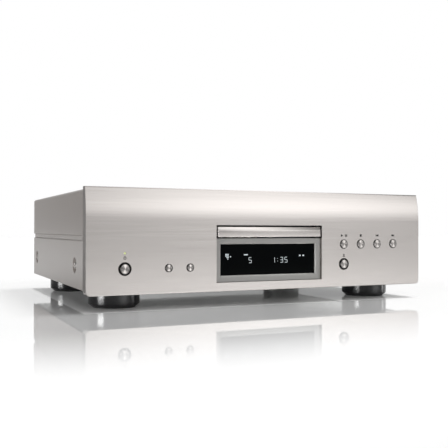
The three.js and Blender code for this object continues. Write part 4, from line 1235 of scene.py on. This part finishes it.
def phono_jack(name):
    low, high = limits(name)
    centre = (middle(name).x, 0, middle(name).z)
    plate = limits("rear_panel")[1].y
    back = [(0, low.y), (JACK_BODY, low.y), (JACK_BODY, plate)]
    radius, bore, hole, depth = BARREL.values()
    floor = high.y - depth
    barrel = [(radius, plate), (radius, high.y), (bore, high.y), (bore, floor), (0, floor)]
    shell = paint(soften(turned(name + "_jack", back + barrel, centre, steps=48), 0.12), gold_plate)
    clear_selection()
    bpy.ops.mesh.primitive_cylinder_add(
        vertices=6,
        radius=NUT["radius"] * MM,
        depth=NUT["thick"] * MM,
        location=at(centre[0], plate + NUT["out"], centre[2]),
        rotation=(math.radians(90), 0, 0),
    )
    nut = bpy.context.object
    bpy.ops.object.transform_apply(location=True, rotation=True, scale=True)
    paint(soften(nut, 0.2), gold_plate)
    outer, near, far = bore - 0.05, floor + 0.1, high.y - 0.4
    ring = [(hole, far), (outer, far), (outer, near), (hole, near), (hole, far)]
    colour = JACKS[name]
    insulator = turned("insulator", ring, centre, steps=32)
    paint(insulator, moulding(colour + "_insulator", INSULATORS[colour], 0.35))
    return fit(together(shell, nut, insulator), "chassis", "gold_plate", name)


for name in JACKS:
    phono_jack(name)

# %% [markdown]
# The other connectors are black mouldings: a square socket for a light guide with its hinged shutter, two
# miniature jacks side by side for remote control, and a two-pin mains inlet in a deep well with a flange.

# %% Other connectors
def socket_block(name, low, high, well_low, well_high, corner=1.0):
    block = box(name, low, high)
    well = box("cutter", well_low, well_high)
    with Editing(well) as edit:
        edit.edges(lambda a, b: abs(a.y - b.y) > 1)
        bpy.ops.mesh.bevel(offset=corner * MM, segments=4, affect="EDGES")
    return paint(soften(take_away(block, well), 0.25), satin_black)


def optical_output():
    low, high = limits("optical_output")
    x, z = middle("optical_output").x, middle("optical_output").z
    well = [(x - 4.9, high.y - 10, z - 4.4), (x + 4.9, high.y + 1, z + 4.4)]
    block = socket_block("optical_socket", low, high, *well)
    shutter = soften(box("shutter", (x - 4.5, high.y - 9.4, z - 4), (x + 4.5, high.y - 8.8, z + 4)), 0.2)
    return fit(together(block, paint(shutter, satin_black)), "chassis", "satin_black", "optical_output")


def remote_jacks():
    low, high = limits("remote_jacks")
    centre = middle("remote_jacks")
    plate = limits("rear_panel")[1].y
    block = box("remote_jack_pair", low, (high.x, plate + 0.5, high.z))
    places = [(centre.x + side, 0, centre.z) for side in (-7, 7)]
    collars = []
    for place in places:
        take_away(block, drum("cutter", 1.9, plate - 9, plate + 4, place, steps=24))
        ring = [(1.8, plate + 0.4), (3.8, plate + 0.4), (3.8, high.y), (1.8, high.y), (1.8, plate + 0.4)]
        collars.append(paint(soften(turned("collar", ring, place, steps=36), 0.15), screw_steel))
    paint(soften(block, 0.2), satin_black)
    return fit(together(block, *collars), "chassis", "satin_black", "remote_jacks")


def mains_inlet():
    low, high = limits("mains_inlet")
    centre = middle("mains_inlet")
    x, z = centre.x, centre.z
    plate = limits("rear_panel")[1].y
    wide, tall = MAINS["width"] / 2, MAINS["height"] / 2
    well = [(x - wide + 0.5, plate - 16, z - tall + 0.5), (x + wide - 0.5, high.y + 2, z + tall - 0.5)]
    near, far = (x - wide - 2, low.y, z - tall - 2), (x + wide + 2, plate + 1, z + tall + 2)
    shroud = socket_block("mains_inlet_shroud", near, far, *well, corner=3)
    flange = socket_block("flange", (low.x, plate + 0.3, low.z), high, *well, corner=3)
    pins = []
    for middle_x in (x - 7, x + 7):
        pin = box("pin", (middle_x - 1, plate - 16.5, z - 2), (middle_x + 1, plate - 2, z + 2))
        pins.append(paint(soften(pin, 0.3), screw_steel))
    return fit(together(shroud, flange, *pins), "chassis", "satin_black", "mains_inlet")


for made in (optical_output(), remote_jacks(), mains_inlet()):
    print(made.name, [round(size * 1000, 1) for size in made.dimensions], "mm")

# %% [markdown]
# Inside, the design's own solids have the right shapes already, so they stay and only get better finishes.
# A finish is put on a part by filling its material slots.

# %% Finishes of the parts inside
IVORY = (0.72, 0.69, 0.6, 1)
BOARD_GREEN = (0.02, 0.11, 0.05, 1)


def circuit_board():
    finish = Finish("circuit_board", Roughness=0.4)
    x, y, z = finish.split(finish.place())
    tracks = ((x * 2.1).sine() + (y * 1.7).sine()).within(1.2, 1.35)
    blotches = finish.noise((0.1, 0.1, 0.1), detail=4.0)
    solder = finish.mix(blotches + 0.5, shade_of(BOARD_GREEN, 0.7), shade_of(BOARD_GREEN, 1.4))
    return finish.vary(
        Base_Color=finish.mix(tracks, solder, (0.45, 0.4, 0.25, 1)),
        Metallic=tracks * 0.8,
        Normal=finish.bump(tracks, 0.3, 0.05),
    )


def glass(name, colour):
    finish = Finish(name, Metallic=0.2)
    sheen = finish.noise((0.3, 0.3, 0.3))
    return finish.vary(
        Base_Color=finish.mix(sheen + 0.5, shade_of(colour, 0.8), shade_of(colour, 1.2)),
        Roughness=sheen * 0.05 + 0.06,
    )


INSIDE = {
    zinc: "sub_panel clamp_bridge traverse transformer",
    plated("turned_steel", SCREW_STEEL, 0.28): "guide_rail_left guide_rail_right sled_screw "
    "spindle_motor sled_motor loading_motor",
    satin_black: "loader_base turntable clamp_puck pickup",
    moulding("ivory_moulding", IVORY, 0.45): "drive_gear pulley_gear motor_pulley cam_slider",
    black_rubber: "loading_belt",
    circuit_board(): "display_board key_board_left key_board_right main_board power_board",
    glass("tube_glass", (0.2, 0.25, 0.27, 1)): "display_tube",
    glass("lens_glass", (0.25, 0.38, 0.55, 1)): "pickup_lens",
}


def finish_inside():
    count = 0
    for finish, names in INSIDE.items():
        for name in names.split():
            paint(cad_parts[name], finish)
            count += 1
    return count


print("parts inside with their own finishes:", finish_inside())

# %% [markdown]
# The light comes from a sky that is painted on the world by direction. In front it is nearly dark, but for
# one soft patch to the right, brighter a little above the horizon: the brushed panel spreads it into its
# bright middle, and the part that leans back turns it into a bright band. Two upright strips at the sides
# draw the bright lines down the glossy feet. Behind the player and beside it on the right the sky is
# bright again, while on the left it stays dark, so that the left side falls into shade. A wide lamp above,
# a little to the right, lights the top and the floor. The camera itself sees plain white.

# %% Studio light
WHITE = (1, 1, 1, 1)
BACKDROP = 1.0
FRONT_LIGHT = 0.02
# bearings are in degrees, 0 in front and 90 to the right; heights run from 0 at the horizon to 1 overhead
BEHIND = {"right": (75, 120), "left": (164, 175), "top": (0.15, 0.5), "fade": 0.7}
PATCH = {"towards": 30, "width": 15, "level": 0.72, "raised": 1.6}
RAISED = {"bottom": (0.06, 0.19), "top": (0.2, 0.45), "fade": 0.55}
OVERHEAD = 0.7
OVERHEAD_HEIGHT = (0.55, 0.85)
# the bearing, half width and strength of each strip, and the height at which both end
STRIPS = [(-75, 18, 28.0), (77, 7, 7.0)]
STRIP_TOP = (0.14, 0.22)
LAMP = 1.85
LAMP_SPREAD = 20
LAMP_TILT = 24


def studio_light():
    world = bpy.data.worlds.new("studio_light")
    bpy.context.scene.world = world
    sky = Tree(world)
    background = sky.tree.nodes["Background"]
    x, y, z = sky.split(sky.node("ShaderNodeTexCoord", output=0))
    bearing = x.math("ARCTAN2", x, y * -1.0) * (180 / math.pi)
    behind = bearing.within(*BEHIND["right"]) + (bearing * -1.0).within(*BEHIND["left"])
    patch = (bearing - PATCH["towards"]).bell(PATCH["width"])
    raised = z.within(*RAISED["bottom"]) * (1 - z.within(*RAISED["top"]) * RAISED["fade"])
    front = patch * (raised * PATCH["raised"] + PATCH["level"]) + FRONT_LIGHT
    rear = (1 - z.within(*BEHIND["top"]) * BEHIND["fade"]) * BACKDROP
    light = front * (1 - behind) + behind * rear + z.within(*OVERHEAD_HEIGHT) * OVERHEAD
    for towards, half_width, gain in STRIPS:
        strip = 1 - (bearing - towards).size().within(half_width * 0.5, half_width)
        light = light + strip * gain * (1 - z.size().within(*STRIP_TOP))
    seen = sky.node("ShaderNodeLightPath", output=0)
    sky.feed(light * (1 - seen) + seen, background.inputs[1])
    background.inputs[0].default_value = WHITE


def ceiling_lamp():
    bpy.ops.object.light_add(type="SUN", location=(0, 0, 2), rotation=(0, math.radians(LAMP_TILT), 0))
    lamp = bpy.context.object
    lamp.name = "ceiling_lamp"
    lamp.data.energy = LAMP
    lamp.data.angle = math.radians(LAMP_SPREAD)


bpy.context.scene.view_settings.view_transform = "Standard"
studio_light()
ceiling_lamp()

# %% [markdown]
# The floor is a sheet of white acrylic. Near the player it mirrors the front, and the mirror image fades
# away within a hand's breadth or two. The finish blends a mirror into white by the distance from the
# player. Well in front of the player the floor's colour is painted grey: a painted shade where the pool of
# light would end, which calms the flat of the front.

# %% Floor
FLOOR_SIZE = 12
MIRROR_FADE = (100, 350)
MIRROR = 0.66
PAINTED_POOL_EDGE = (400, 750)
# right under the player's edge the mirror is weaker, and reaches its full share at this distance
MIRROR_EDGE = 4
MIRROR_AT_EDGE = 0.4
# the tone of the white floor, and of the painted shade well in front of it
FLOOR_WHITE_AND_PAINTED_SHADE = (0.86, 0.45)


def acrylic_floor():
    clear_selection()
    bpy.ops.mesh.primitive_plane_add(size=FLOOR_SIZE, location=(0, 0, 0))
    floor = bpy.context.object
    floor.name = "floor"
    finish = Finish("white_acrylic", Roughness=0.5, Specular_IOR_Level=0.0)
    x, y, z = finish.split(finish.place())
    beside = (x.size() - limits("front_panel")[1].x).above(0)
    before = (y * -1.0).above(y - limits("top_cover")[1].y).above(0)
    distance = (beside * beside + before * before) ** 0.5
    edge = distance.within(0, MIRROR_EDGE) * (1 - MIRROR_AT_EDGE) + MIRROR_AT_EDGE
    share = (1 - distance.within(*MIRROR_FADE)) * edge * MIRROR
    # painted shade: well in front of the player the floor's colour turns grey, where the pool of light would
    # end
    painted_pool_shade = (y * -1.0).within(*PAINTED_POOL_EDGE)
    white, painted_shade_grey = (shade_of(WHITE, tone) for tone in FLOOR_WHITE_AND_PAINTED_SHADE)
    finish.vary(Base_Color=finish.mix(painted_pool_shade, white, painted_shade_grey))
    mirror = finish.node("ShaderNodeBsdfGlossy", {}, {"Roughness": 0.03, "Color": (0.95, 0.95, 0.95, 1)})
    base = Shade(finish, finish.shader.outputs[0])
    blend = finish.node("ShaderNodeMixShader", {}, {0: share, 1: base, 2: mirror})
    finish.feed(blend, finish.tree.nodes["Material Output"].inputs[0])
    floor.data.materials.append(finish.material)
    return floor


acrylic_floor()
